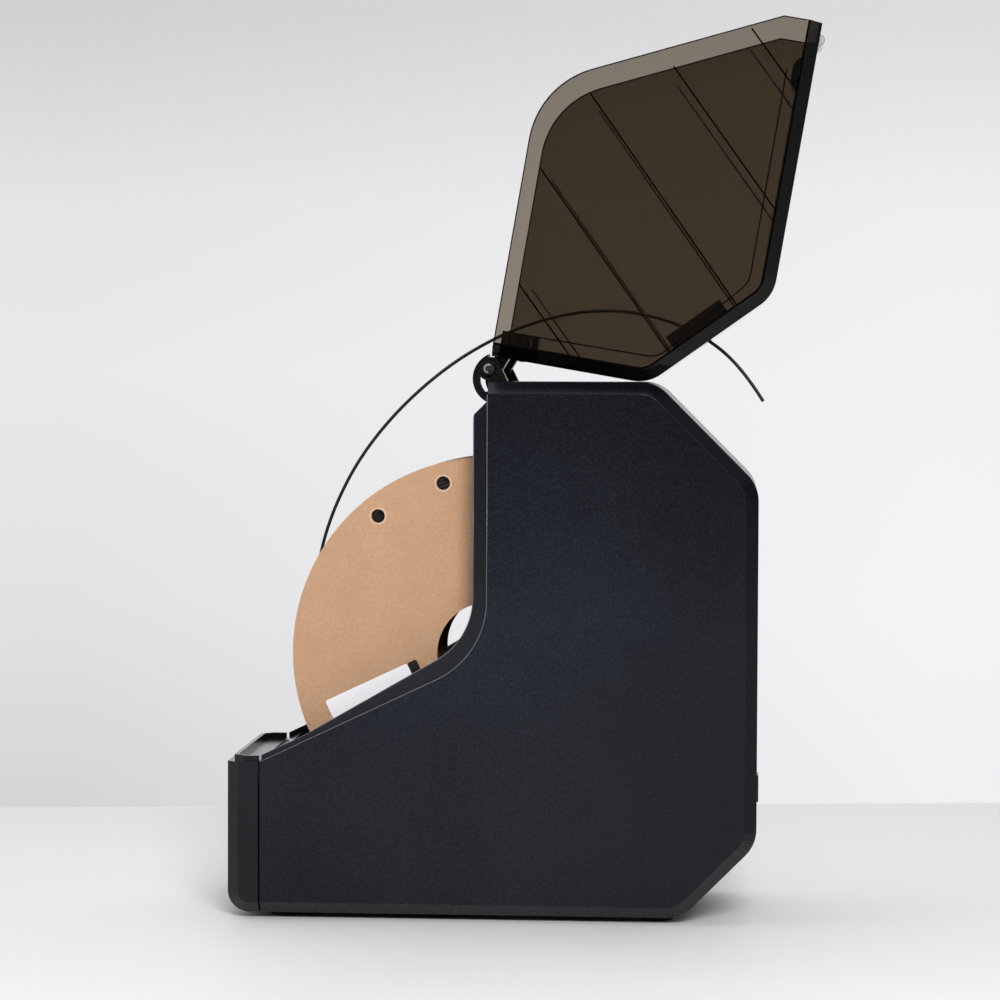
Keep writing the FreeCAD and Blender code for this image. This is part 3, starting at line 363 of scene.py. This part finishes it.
def tube(points, radius, sides):
    """Vertices and faces of a round tube with closed ends along points."""
    ways = [(b - a).normalized() for a, b in zip(points, points[1:])]
    ways = [ways[0]] + [(a + b).normalized() for a, b in zip(ways, ways[1:])] + [ways[-1]]
    up = ways[0].orthogonal().normalized()
    vertices = []
    for point, way in zip(points, ways):
        up = (up - way * up.dot(way)).normalized()
        across = way.cross(up)
        for i in range(sides):
            angle = 2 * math.pi * i / sides
            vertices.append(point + (up * math.cos(angle) + across * math.sin(angle)) * radius)
    return vertices, closed_faces(len(points), sides)


def bar(a, b, y, inward):
    """A low ridge with a rounded back from a to b, standing inward from the plane y."""
    a, b = at_width(a, y), at_width(b, y)
    across = Vector((0, 1, 0)).cross((b - a).normalized()).normalized()
    vertices = []
    for end in (a, b):
        for i in range(LINE_SIDES + 1):
            angle = math.pi * i / LINE_SIDES
            rise = Vector((0, inward, 0)) * (math.sin(angle) * LINE_HEIGHT)
            vertices.append((end + across * (math.cos(angle) * LINE_WIDTH / 2) + rise) * MM)
    return vertices, closed_faces(2, LINE_SIDES + 1)


def screw_head(centre, out, across):
    """Vertices and faces of a domed screw head with a cross recess, standing out from centre."""
    side = out.cross(across)
    recess = []
    for quarter in range(4):
        turn = quarter * math.pi / 2
        for u, v in ((RECESS_HALF, RECESS_HALF), (RECESS_HALF, RECESS_REACH), (-RECESS_HALF, RECESS_REACH)):
            recess.append((u * math.cos(turn) - v * math.sin(turn), u * math.sin(turn) + v * math.cos(turn)))
    angles = [math.atan2(v, u) for u, v in recess]
    rings = [([on_circle((0.0, 0.0), radius, angle) for angle in angles], rise) for radius, rise in HEAD_RINGS]
    rings.append((recess, RECESS_TOP))
    rings.append(([(RECESS_TAPER * u, RECESS_TAPER * v) for u, v in recess], RECESS_FLOOR))
    vertices = [(centre + across * u + side * v + out * rise) * MM for ring, rise in rings for u, v in ring]
    return vertices, closed_faces(len(rings), len(recess))


def add_mesh(name, vertices, faces, material, smooth=True):
    mesh = bpy.data.meshes.new(name)
    mesh.from_pydata([tuple(v) for v in vertices], [], faces)
    mesh.update()
    if smooth:
        mesh.shade_smooth()
    piece = bpy.data.objects.new(name, mesh)
    scene.collection.objects.link(piece)
    mesh.materials.append(material)
    return piece


def add_ring(name, centre, side, size, arc, steps, material):
    """A flat ring or part of one with softened edges, standing out from centre to one side."""
    inner, outer, thick = size
    first, last = arc
    soft = min(RING_EDGE[0] * thick, RING_EDGE[1] * (outer - inner))
    profile = [(inner, 0), (outer, 0), (outer, thick - soft), (outer - soft, thick), (inner + soft, thick),
               (inner, thick - soft)]
    whole = last - first >= 360
    stations = steps if whole else steps + 1
    vertices = []
    for i in range(stations):
        angle = math.radians(first + (last - first) * i / steps)
        for radius, rise in profile:
            spot = on_circle((centre.x, centre.z), radius, angle)
            vertices.append(at_width(spot, centre.y + side * rise) * MM)
    faces = walls(stations, len(profile), True) if whole else closed_faces(stations, len(profile))
    return add_mesh(name, vertices, faces, material, smooth=False)


class Graph:
    """A node tree, built up node by node."""

    def __init__(self, tree):
        self.tree = tree

    def add(self, kind, **settings):
        node = self.tree.nodes.new(kind)
        for name, value in settings.items():
            setattr(node, name, value)
        return node

    def feed(self, socket, source):
        """Set a socket to a number or colour, or link it to an output."""
        if isinstance(source, bpy.types.NodeSocket):
            self.tree.links.new(source, socket)
        else:
            socket.default_value = source

    def parts(self, vector):
        """The outputs X, Y and Z of a vector."""
        split = self.add("ShaderNodeSeparateXYZ")
        self.feed(split.inputs["Vector"], vector)
        return split.outputs

    def ramp(self, source, *stops):
        """A value turned into a grey or a colour by stops of (place, value)."""
        node = self.add("ShaderNodeValToRGB")
        self.feed(node.inputs["Fac"], source)
        elements = node.color_ramp.elements
        while len(elements) < len(stops):
            elements.new(0.5)
        for element, (spot, value) in zip(elements, stops):
            element.position = spot
            element.color = (*value, 1) if isinstance(value, tuple) else (value, value, value, 1)
        return node.outputs["Color"]

    def maths(self, operation, *values):
        node = self.add("ShaderNodeMath", operation=operation)
        for socket, value in zip(node.inputs, values):
            self.feed(socket, value)
        return node.outputs[0]

    def mixed(self, share, a, b, blend="MIX"):
        node = self.add("ShaderNodeMix", data_type="RGBA", blend_type=blend)
        self.feed(node.inputs["Factor"], share)
        colours = [s for s in node.inputs if s.type == "RGBA"]
        self.feed(colours[0], a)
        self.feed(colours[1], b)
        return next(s for s in node.outputs if s.type == "RGBA")

    def blended(self, share, a, b):
        """The sum of a share of a and the rest of b."""
        return self.maths("ADD", self.maths("MULTIPLY", a, share), self.maths("MULTIPLY", b, 1 - share))


class Paint(Graph):
    """A material, built up from one shader."""

    def __init__(self, name, **sockets):
        self.material = bpy.data.materials.new(name)
        self.material.use_nodes = True
        super().__init__(self.material.node_tree)
        self.shader = self.tree.nodes["Principled BSDF"]
        for socket, value in sockets.items():
            self.shader.inputs[socket.replace("_", " ")].default_value = value
        self.place = self.add("ShaderNodeTexCoord").outputs["Object"]

    def facing(self):
        """The parts of the face's direction."""
        return self.parts(self.add("ShaderNodeNewGeometry").outputs["True Normal"])

    def stretched(self, scale):
        mapping = self.add("ShaderNodeMapping")
        self.feed(mapping.inputs["Vector"], self.place)
        mapping.inputs["Scale"].default_value = scale
        return mapping.outputs["Vector"]

    def noise(self, scale, detail=2.0, roughness=0.5, stretch=None):
        node = self.add("ShaderNodeTexNoise")
        self.feed(node.inputs["Vector"], self.stretched(stretch) if stretch else self.place)
        node.inputs["Scale"].default_value = scale
        node.inputs["Detail"].default_value = detail
        node.inputs["Roughness"].default_value = roughness
        return node.outputs["Fac"]

    def bump(self, height, distance):
        node = self.add("ShaderNodeBump")
        self.feed(node.inputs["Height"], height)
        node.inputs["Distance"].default_value = distance
        node.inputs["Strength"].default_value = 1.0
        self.feed(self.shader.inputs["Normal"], node.outputs["Normal"])

    def colour(self, source):
        self.feed(self.shader.inputs["Base Color"], source)

    def rough(self, source):
        self.feed(self.shader.inputs["Roughness"], source)


def one_noise(name, noise, tones, gloss, relief=None, **sockets):
    """A finish whose tone, gloss and relief all follow one noise."""
    paint = Paint(name, **sockets)
    value = paint.noise(*noise)
    paint.colour(paint.ramp(value, *tones))
    paint.rough(paint.ramp(value, *gloss))
    if relief:
        paint.bump(value, relief)
    return paint.material


def moulded_plastic(name, dark, light, grain, shine=0.3, gloss=(0.42, 0.58), painted_shading=None, bevel_light=None):
    """Spark-textured moulding: fine pits, faint clouding and uneven gloss.

    Its tone can take painted sheen and shade that change it by height and darken it to the back, and painted
    light that lightens its lower bevels by the amount given.
    """
    paint = Paint(name, Specular_IOR_Level=shine)
    clouds = paint.noise(14.0, 3.0)
    pits = paint.noise(1100.0, 2.0, 0.6)
    tone = paint.ramp(paint.blended(CLOUD_SHARE, clouds, pits), (0.30, dark), (0.72, light))
    if painted_shading:
        # Painted sheen and shade: the tone is lighter low down, darker at the top and darker to the back
        spot = paint.parts(paint.place)
        by_height = paint.ramp(paint.maths("MULTIPLY", spot["Z"], SHADING_GAIN), *painted_shading)
        to_back = paint.ramp(paint.maths("MULTIPLY", spot["X"], BACK_SHADE_GAIN), *HOUSING_BACK_SHADE)
        tone = paint.mixed(1.0, paint.mixed(1.0, tone, by_height, "MULTIPLY"), to_back, "MULTIPLY")
    if bevel_light:
        # Painted light: bevels that face down towards the bright floor are made lighter
        facing = paint.facing()
        sideways = paint.maths("ABSOLUTE", facing["Y"])
        bevels = paint.ramp(sideways, (0.30, 0.0), (0.50, bevel_light), (0.90, bevel_light), (FLAT_SIDE, 0.0))
        downward = paint.ramp(paint.maths("MULTIPLY", facing["Z"], -1.0), (0.0, 0.0), (0.5, 1.0))
        tone = paint.mixed(1.0, tone, paint.mixed(1.0, bevels, downward, "MULTIPLY"), "ADD")
    paint.colour(tone)
    paint.rough(paint.ramp(pits, (0.3, gloss[0]), (0.7, gloss[1])))
    paint.bump(pits, grain)
    return paint.material


def smoked_clear():
    """Clear smoked moulding: tinted in its thickness, with painted shade that darkens its far wall, and dark
    painted shade, streaked, along its bevels and free edges.
    """
    paint = Paint("smoked_clear_hood", Transmission_Weight=1.0, IOR=1.49)
    marks = paint.noise(420.0, 3.0, 0.7, (1.0, 1.0, 0.15))
    paint.rough(paint.ramp(marks, (0.5, 0.0), (0.8, 0.02)))
    sideways = paint.maths("ABSOLUTE", paint.facing()["Y"])
    # Painted shade: the far wall's flat side is made darker
    far = paint.maths("MULTIPLY", paint.maths("GREATER_THAN", paint.parts(paint.place)["Y"], 0.0),
                      paint.maths("GREATER_THAN", sideways, FLAT_SIDE))
    flats = paint.mixed(far, (1, 1, 1, 1), HOOD_FAR_SHADE)
    # Painted shade: bevels and free edges are made dark, streaked by a noise, where the tinted wall seen edge
    # on looks dark
    bevel_shade = paint.ramp(paint.noise(70.0, 3.0), (0.42, (0.055, 0.052, 0.050)), (0.70, (0.14, 0.135, 0.13)))
    bevels = paint.ramp(sideways, (0.30, 0.0), (0.50, 1.0), (0.85, 1.0), (FLAT_SIDE, 0.0))
    paint.colour(paint.mixed(bevels, flats, bevel_shade))
    tint = paint.add("ShaderNodeVolumeAbsorption")
    tint.inputs["Color"].default_value = HOOD_TINT
    tint.inputs["Density"].default_value = HOOD_DENSITY
    paint.feed(paint.tree.nodes["Material Output"].inputs["Volume"], tint.outputs["Volume"])
    return paint.material


def kraft_board(name, dark, light, fleck):
    """Kraft board: fine fibres every way, soft clouds, small flecks and a faint relief."""
    paint = Paint(name, Specular_IOR_Level=0.2)
    fibres = paint.noise(650.0, 6.0, 0.75)
    clouds = paint.noise(60.0, 3.0)
    base = paint.ramp(paint.blended(FIBRE_SHARE, fibres, clouds), (0.36, dark), (0.62, light))
    flecks = paint.ramp(paint.noise(1400.0, 1.0), (0.72, 0.0), (0.78, 0.7))
    paint.colour(paint.mixed(flecks, base, (*fleck, 1)))
    paint.rough(paint.ramp(fibres, (0.3, 0.72), (0.7, 0.9)))
    paint.bump(fibres, 0.00004)
    return paint.material


def circuit_board():
    """Green board with lighter tracks."""
    paint = Paint("circuit_board", Specular_IOR_Level=0.5)
    tracks = paint.add("ShaderNodeTexBrick")
    paint.feed(tracks.inputs["Vector"], paint.place)
    for socket, value in (("Scale", 180.0), ("Mortar Size", 0.04), ("Color1", (0.012, 0.075, 0.03, 1)),
                          ("Color2", (0.016, 0.10, 0.04, 1)), ("Mortar", (0.03, 0.16, 0.07, 1))):
        tracks.inputs[socket].default_value = value
    paint.colour(tracks.outputs["Color"])
    weave = paint.noise(1800.0)
    paint.rough(paint.ramp(weave, (0.3, 0.3), (0.7, 0.45)))
    paint.bump(weave, 0.00001)
    return paint.material


black = moulded_plastic("black_moulding", (0.0042, 0.0057, 0.0102), (0.0180, 0.0232, 0.0372), 0.000015,
                        0.30, (0.20, 0.30), HOUSING_SHEEN_AND_SHADE, BEVEL_FLOOR_LIGHT)
inner_black = moulded_plastic("black_liner", (0.0040, 0.0052, 0.0080), (0.0080, 0.0102, 0.0150), 0.000008,
                              0.5, (0.14, 0.22))
panel_black = moulded_plastic("black_panel", (0.0048, 0.0054, 0.0072), (0.0090, 0.0099, 0.0128), 0.000008,
                              0.42, (0.14, 0.22), bevel_light=BEVEL_FLOOR_LIGHT)
hinge_black = moulded_plastic("black_hinge", (0.0020, 0.0020, 0.0024), (0.004, 0.004, 0.0046), 0.000008,
                              0.4, (0.16, 0.26))
# Painted highlight: a lighter grey for beads that stand for the light caught by rounded edges
highlight_grey = moulded_plastic("painted_edge_highlight", (0.10, 0.106, 0.118), (0.17, 0.178, 0.195), 0.000008,
                             0.5, (0.2, 0.3))
roller_black = moulded_plastic("roller_moulding", (0.02, 0.02, 0.022), (0.04, 0.04, 0.044), 0.00003)
clear = smoked_clear()
# Painted light: a light grey that stands for the light shining through the hood's thin finger tab
tab_light_grey = one_noise("tab_painted_light", (1600.0, 3.0, 0.6),
                    [(0.3, (0.34, 0.34, 0.36)), (0.7, (0.46, 0.46, 0.48))],
                    [(0.3, 0.35), (0.7, 0.55)], 0.00002, Specular_IOR_Level=0.4)
board = kraft_board("kraft_board", (0.455, 0.266, 0.157), (0.55, 0.335, 0.204), (0.28, 0.155, 0.088))
rim_board = kraft_board("pressed_board", (0.58, 0.38, 0.25), (0.68, 0.47, 0.33), (0.40, 0.25, 0.15))
core_board = kraft_board("black_board", (0.003, 0.003, 0.003), (0.008, 0.0075, 0.007), (0.013, 0.012, 0.011))
filament = one_noise("satin_filament", (90.0, 4.0, 0.6),
                     [(0.3, (0.006, 0.006, 0.007)), (0.7, (0.011, 0.011, 0.012))],
                     [(0.3, 0.30), (0.7, 0.40)], 0.00002, Specular_IOR_Level=0.45)
steel = one_noise("drawn_steel", (2200.0, 3.0, 0.6, (1.0, 0.04, 1.0)),
                  [(0.3, (0.45, 0.45, 0.46)), (0.7, (0.68, 0.68, 0.69))],
                  [(0.3, 0.22), (0.7, 0.40)], 0.00001, Metallic=1.0)
dark_steel = one_noise("blackened_steel", (1800.0, 3.0, 0.6, (1.0, 0.05, 1.0)),
                       [(0.3, (0.020, 0.020, 0.022)), (0.75, (0.060, 0.060, 0.064))],
                       [(0.3, 0.3), (0.7, 0.48)], 0.00001, Metallic=1.0)
rubber = one_noise("soft_rubber", (500.0, 4.0, 0.7),
                   [(0.3, (0.012, 0.012, 0.012)), (0.75, (0.035, 0.034, 0.033))],
                   [(0.3, 0.7), (0.7, 0.9)], 0.00004, Specular_IOR_Level=0.25)
pcb = circuit_board()
aluminium = one_noise("extruded_aluminium", (1500.0, 3.0, 0.6, (0.05, 1.0, 1.0)),
                      [(0.3, (0.55, 0.56, 0.57)), (0.7, (0.74, 0.75, 0.76))],
                      [(0.3, 0.3), (0.7, 0.5)], 0.00001, Metallic=1.0)
window = one_noise("dark_window", (60.0, 3.0, 0.6),
                   [(0.3, (0.004, 0.004, 0.005)), (0.7, (0.009, 0.009, 0.010))],
                   [(0.35, 0.06), (0.75, 0.16)], Specular_IOR_Level=0.5, Coat_Weight=0.5)
paper = one_noise("label_paper", (800.0, 4.0, 0.6),
                  [(0.3, (0.90, 0.90, 0.93)), (0.7, (0.96, 0.96, 0.99))],
                  [(0.3, 0.42), (0.7, 0.55)], 0.00001, Specular_IOR_Level=0.35)

FINISHES = {
    "outer_housing": black, "front_panel": panel_black, "base_cover": black, "inner_tub": inner_black,
    "lid_catch": hinge_black, "outlet_block": hinge_black, "hinge_bracket_left": hinge_black,
    "hinge_bracket_right": hinge_black, "lid_hinge_arm_left": hinge_black, "lid_hinge_arm_right": hinge_black,
    "fan_frame": hinge_black, "fan_impeller": hinge_black, "air_grille": inner_black,
    "power_inlet": hinge_black, "lid_hood": clear, "display_window": window, "display_board": pcb,
    "main_board": pcb, "humidity_sensor": pcb, "hinge_rod": dark_steel, "front_roller_axle": steel,
    "rear_roller_axle": steel, "front_roller": roller_black, "rear_roller": roller_black,
    "spool_flange_near": board, "spool_flange_far": board, "spool_core": core_board, "rubber_feet": rubber,
    "heater_block": aluminium,
}


def paint_nodes():
    for name, material in FINISHES.items():
        slots = nodes[name].data.materials
        slots.clear()
        slots.append(material)


def soften():
    """Round the moulded edges of solids a little, as the real mouldings are."""
    for width, names in SOFT_EDGES:
        for name in names:
            node = nodes[name]
            node.modifiers.new("weld", "WELD").merge_threshold = WELD * MM
            edge = node.modifiers.new("round", "BEVEL")
            edge.width = width * MM
            edge.segments = SOFT_SEGMENTS
            edge.limit_method = "ANGLE"
            edge.angle_limit = math.radians(SOFT_ANGLE)
            node.modifiers.new("normals", "WEIGHTED_NORMAL").keep_sharp = False


def add_strand():
    points = spline_points("strand_line", STRAND_ROUTE, STRAND_STEPS)
    strand = add_mesh("filament_free_end", *tube(points, WIRE_RADIUS, STRAND_SIDES), filament)
    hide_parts("filament_strand")
    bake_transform(strand)


def add_layers():
    """The wound layers of filament, rounded at both sides."""
    layers = int((PACK_RADIUS - CORE_RADIUS) / LAYER_PITCH)
    side = []
    for layer in range(layers):
        for step in range(LAYER_STEPS):
            share = step / LAYER_STEPS
            radius = CORE_RADIUS + (layer + share) * (PACK_RADIUS - CORE_RADIUS) / layers
            side.append((radius, PACK_HALF_WIDTH - LAYER_BULGE + LAYER_BULGE * math.sin(math.pi * share)))
    side.append((PACK_RADIUS, PACK_HALF_WIDTH - LAYER_BULGE))
    profile = [(r, -y) for r, y in side] + [(r, y) for r, y in reversed(side)]
    vertices = []
    for i in range(PACK_SEGMENTS):
        angle = 2 * math.pi * i / PACK_SEGMENTS
        vertices += [at_width(on_circle(SPOOL_AXIS, radius, angle), y) * MM for radius, y in profile]
    pack = add_mesh("filament_layers", vertices, walls(PACK_SEGMENTS, len(profile), True), filament)
    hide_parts("filament_pack")
    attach(pack, "spool")


def add_turns():
    """One unbroken outer layer of turns."""
    points = []
    for i in range(TURNS * TURN_STEPS + 1):
        turn = i / TURN_STEPS - TURNS / 2
        angle = 2 * math.pi * turn + math.radians(TURN_START)
        points.append(at_width(on_circle(SPOOL_AXIS, TURN_RADIUS, angle), turn * TURN_PITCH) * MM)
    turns = add_mesh("filament_outer_turns", *tube(points, WIRE_RADIUS, TURN_SIDES), filament)
    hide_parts("filament_winding")
    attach(turns, "spool")


def add_hood_lines():
    """The diagonal lines on both side walls of the hood."""
    for side, name in ((-1, "near"), (1, "far")):
        ridges = [bar(a, b, side * HOOD_INSIDE, -side) for a, b in HOOD_LINES]
        lines = add_mesh(f"hood_lines_{name}", *merged(ridges), hinge_black)
        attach(lines, "lid")


def add_hood_trim():
    """The step that runs round the near wall, and dark beads of painted shade along the hood's free edges."""
    edge = rounded([opened(*point) for point in HOOD_EDGE], EDGE_ROUNDS)
    step = rounded(HOOD_STEP, STEP_ROUNDS)
    outside = HOOD_INSIDE + HOOD_WALL - EDGE_RADIUS
    # The edge beads are painted shade: dark lines along the free edges, where the clear wall only looks dark
    for name, line, y, radius in (("hood_step", step, -HOOD_INSIDE, STEP_RADIUS),
                                  ("hood_edge_shade_near", edge, -outside, EDGE_RADIUS),
                                  ("hood_edge_shade_far", edge, outside, EDGE_RADIUS)):
        points = [at_width(p, y) * MM for p in line]
        trim = add_mesh(name, *tube(points, radius * MM, TRIM_SIDES), hinge_black)
        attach(trim, "lid")


def add_finger_tab():
    """A light grey half-round sleeve over the tab on the front of the hood, painted light that stands for the
    light seen through the tab's thin end.
    """
    out = opened_way(-1, 0)
    along = Vector((-out.y, out.x))
    middle = Vector(opened(*FINGER_TAB))
    stations = ((-TAB_HALF, TAB_SOFT), (-TAB_HALF + TAB_SOFT, 0.0),
                (TAB_HALF - TAB_SOFT, 0.0), (TAB_HALF, TAB_SOFT))
    vertices = []
    for y, less in stations:
        for step in range(TAB_STEPS + 1):
            angle = math.pi * step / TAB_STEPS
            spot = middle + (out * math.sin(angle) + along * math.cos(angle)) * (TAB_RADIUS - less)
            vertices.append(at_width(spot, y) * MM)
    faces = closed_faces(len(stations), TAB_STEPS + 1, flipped=True)
    sleeve = add_mesh("hood_finger_tab", vertices, faces, tab_light_grey, smooth=False)
    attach(sleeve, "lid")


def add_edge_highlights():
    """Painted highlights: lighter beads along the edges of the housing and of the liner's lip."""
    for name, node, corners, corner_radius, radius in EDGE_HIGHLIGHTS:
        line = rounded(corners, (corner_radius,), HIGHLIGHT_STEPS)
        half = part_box(node)[1][1] / MM - radius
        for end, side in (("near", -1), ("far", 1)):
            points = [at_width(p, side * half) * MM for p in line]
            bead = add_mesh(f"{name}_{end}", *tube(points, radius * MM, TRIM_SIDES), highlight_grey)
            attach(bead, "base")


def add_label():
    """The spool's sticker, left bare, with its dark end tab."""
    along = Vector(LABEL_WAY).normalized()
    down = Vector((along.z, 0, -along.x))
    low, high = LABEL_ROUND, LABEL_WIDTH - LABEL_ROUND
    for name, start, length, material, slot in (
            ("spool_label", 0.0, LABEL_LENGTH, paper, "cardboard"),
            ("spool_label_tab", LABEL_LENGTH, LABEL_TAB, filament, "filament")):
        left, right = start + LABEL_ROUND, start + length - LABEL_ROUND
        outline = []
        for u, v, first in ((left, low, 180), (right, low, 270), (right, high, 0), (left, high, 90)):
            for step in range(LABEL_STEPS + 1):
                angle = math.radians(first + step * 90 / LABEL_STEPS)
                outline.append((u + LABEL_ROUND * math.cos(angle), v + LABEL_ROUND * math.sin(angle)))
        vertices = [(Vector(LABEL_CORNER) + along * u + down * v + Vector((0, y, 0))) * MM
                    for y in (0, -LABEL_THICK) for u, v in outline]
        sticker = add_mesh(name, vertices, closed_faces(2, len(outline), flipped=True), material, smooth=False)
        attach(sticker, "spool")


def add_clips():
    """Snap rings on the ends of the hinge rod."""
    for name, side in (("near", -1), ("far", 1)):
        clip = add_ring(f"hinge_clip_{name}", at_width(HINGE, side * ROD_END), side, CLIP,
                        CLIP_ARC, CLIP_STEPS, steel)
        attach(clip, "base")


def add_peep_rims():
    """Pressed rims round the spool's peep holes."""
    for angle in PEEP_ANGLES:
        hole = on_circle(SPOOL_AXIS, PEEP_RING, math.radians(angle))
        for name, side in (("near", -1), ("far", 1)):
            rim = add_ring(f"peep_rim_{name}_{angle:.0f}", at_width(hole, side * FLANGE_OUTSIDE), side,
                           PEEP_RIM, (0, 360), PEEP_STEPS, rim_board)
            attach(rim, "spool")


def add_screws():
    """Screws that hold the base cover, and those that hold the hood on its hinge arms."""
    down, back = Vector((0, 0, -1)), Vector((1, 0, 0))
    for number, (x, y) in enumerate(COVER_SCREWS):
        head = screw_head(Vector((x, y, COVER_BOTTOM)), down, back)
        screw = add_mesh(f"cover_screw_{number}", *head, dark_steel, smooth=False)
        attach(screw, "base")
    out, ahead = at_width(opened_way(0, 1)), at_width(opened_way(1, 0))
    for name, y in (("near", -ARM_Y), ("far", ARM_Y)):
        head = screw_head(at_width(opened(*ARM_SCREW), y), out, ahead)
        screw = add_mesh(f"hood_screw_{name}", *head, dark_steel, smooth=False)
        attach(screw, "lid")


def touch_signs():
    """Outlines of a power ring with its stroke, two arrows and a row of dots."""
    first, last, step = POWER_ARC
    outer, inner = POWER_RADII
    arc = list(range(first, last + 1, step))
    rim = [(outer, angle) for angle in arc] + [(inner, angle) for angle in reversed(arc)]
    signs = [[on_circle((POWER_ACROSS, SIGN_ROW), radius, math.radians(angle)) for radius, angle in rim]]
    half, low, high = POWER_STROKE
    stroke = ((-half, low), (half, low), (half, high), (-half, high))
    signs.append([(POWER_ACROSS + u, SIGN_ROW + v) for u, v in stroke])
    for across, way in ARROWS:
        signs.append([(across + u, SIGN_ROW + way * v) for u, v in ARROW][::way])
    for dot in range(DOTS):
        centre = (DOT_FIRST + DOT_PITCH * dot, SIGN_ROW)
        signs.append([on_circle(centre, DOT_RADIUS, 2 * math.pi * k / DOT_SIDES) for k in range(DOT_SIDES)])
    return signs


def add_touch_marks():
    """The touch signs, printed on the display window."""
    low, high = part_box("display_window")
    face_x = low[0] / MM
    middle_y, middle_z = (low[1] + high[1]) / 2 / MM, (low[2] + high[2]) / 2 / MM
    forms = []
    for sign in touch_signs():
        vertices = [Vector((x, middle_y - u, middle_z + v)) * MM
                    for x in (face_x + SIGN_SUNK, face_x - SIGN_PROUD) for u, v in sign]
        forms.append((vertices, closed_faces(2, len(sign), flipped=True)))
    marks = add_mesh("touch_marks", *merged(forms), paper, smooth=False)
    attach(marks, "base")


def add_floor():
    paint = Paint("pale_floor", Specular_IOR_Level=0.2)
    clouds = paint.noise(3.0, 3.0)
    # Painted shade: the floor is darker where glossy surfaces reflect it
    in_gloss = paint.add("ShaderNodeLightPath").outputs["Is Glossy Ray"]
    paint.colour(paint.mixed(in_gloss, paint.ramp(clouds, *FLOOR_TONES), FLOOR_REFLECTION_SHADE))
    paint.rough(paint.ramp(clouds, *FLOOR_GLOSS))
    floor = add_mesh("floor", FLOOR_CORNERS, [(0, 1, 2, 3)], paint.material, smooth=False)


def add_backdrop():
    """A pale backdrop with painted shade for the eye, and for the light a studio that is dim in front of the
    part.
    """
    world = bpy.data.worlds.new("studio")
    scene.world = world
    world.use_nodes = True
    graph = Graph(world.node_tree)
    seen = graph.tree.nodes["Background"]
    cast = graph.add("ShaderNodeBackground")
    direction = graph.add("ShaderNodeTexCoord").outputs["Generated"]
    way = graph.parts(direction)
    height = graph.maths("MULTIPLY_ADD", way["Z"], BACKDROP_GAIN, MIDDLE)
    meet = graph.ramp(graph.maths("ADD", way["X"], MIDDLE), *BACKDROP_MEET)
    # Painted shade: the backdrop seen is darker at its left and towards its top and bottom
    pale = graph.mixed(meet, graph.ramp(height, *BACKDROP_LEFT), graph.ramp(height, *BACKDROP_RIGHT))
    graph.feed(seen.inputs["Color"], graph.mixed(1.0, pale, BACKDROP_CAST, "MULTIPLY"))
    towards = graph.add("ShaderNodeVectorMath", operation="DOT_PRODUCT")
    graph.feed(towards.inputs[0], direction)
    graph.feed(towards.inputs[1], STUDIO_WAY)
    graph.feed(cast.inputs["Color"], graph.ramp(graph.maths("ADD", towards.outputs["Value"], MIDDLE), *STUDIO))
    path = graph.add("ShaderNodeLightPath").outputs
    either = graph.add("ShaderNodeMixShader")
    graph.feed(either.inputs["Fac"], graph.maths("MAXIMUM", path["Is Camera Ray"], path["Is Transmission Ray"]))
    graph.feed(either.inputs[1], cast.outputs[0])
    graph.feed(either.inputs[2], seen.outputs[0])
    graph.feed(graph.tree.nodes["World Output"].inputs["Surface"], either.outputs[0])


def add_lamps():
    for name, place, aim, size, power in LAMPS:
        data = bpy.data.lights.new(name, "AREA")
        data.shape = "DISK"
        data.size = size
        data.energy = power
        lamp = bpy.data.objects.new(name, data)
        lamp.location = place
        lamp.rotation_euler = (Vector(aim) - Vector(place)).to_track_quat("-Z", "Y").to_euler()
        scene.collection.objects.link(lamp)


add_camera()
add_strand()
add_layers()
add_turns()
add_hood_lines()
add_hood_trim()
add_finger_tab()
add_edge_highlights()
add_label()
add_clips()
add_peep_rims()
add_screws()
add_touch_marks()
soften()
paint_nodes()
add_floor()
add_backdrop()
add_lamps()
scene.view_settings.view_transform = "Standard"
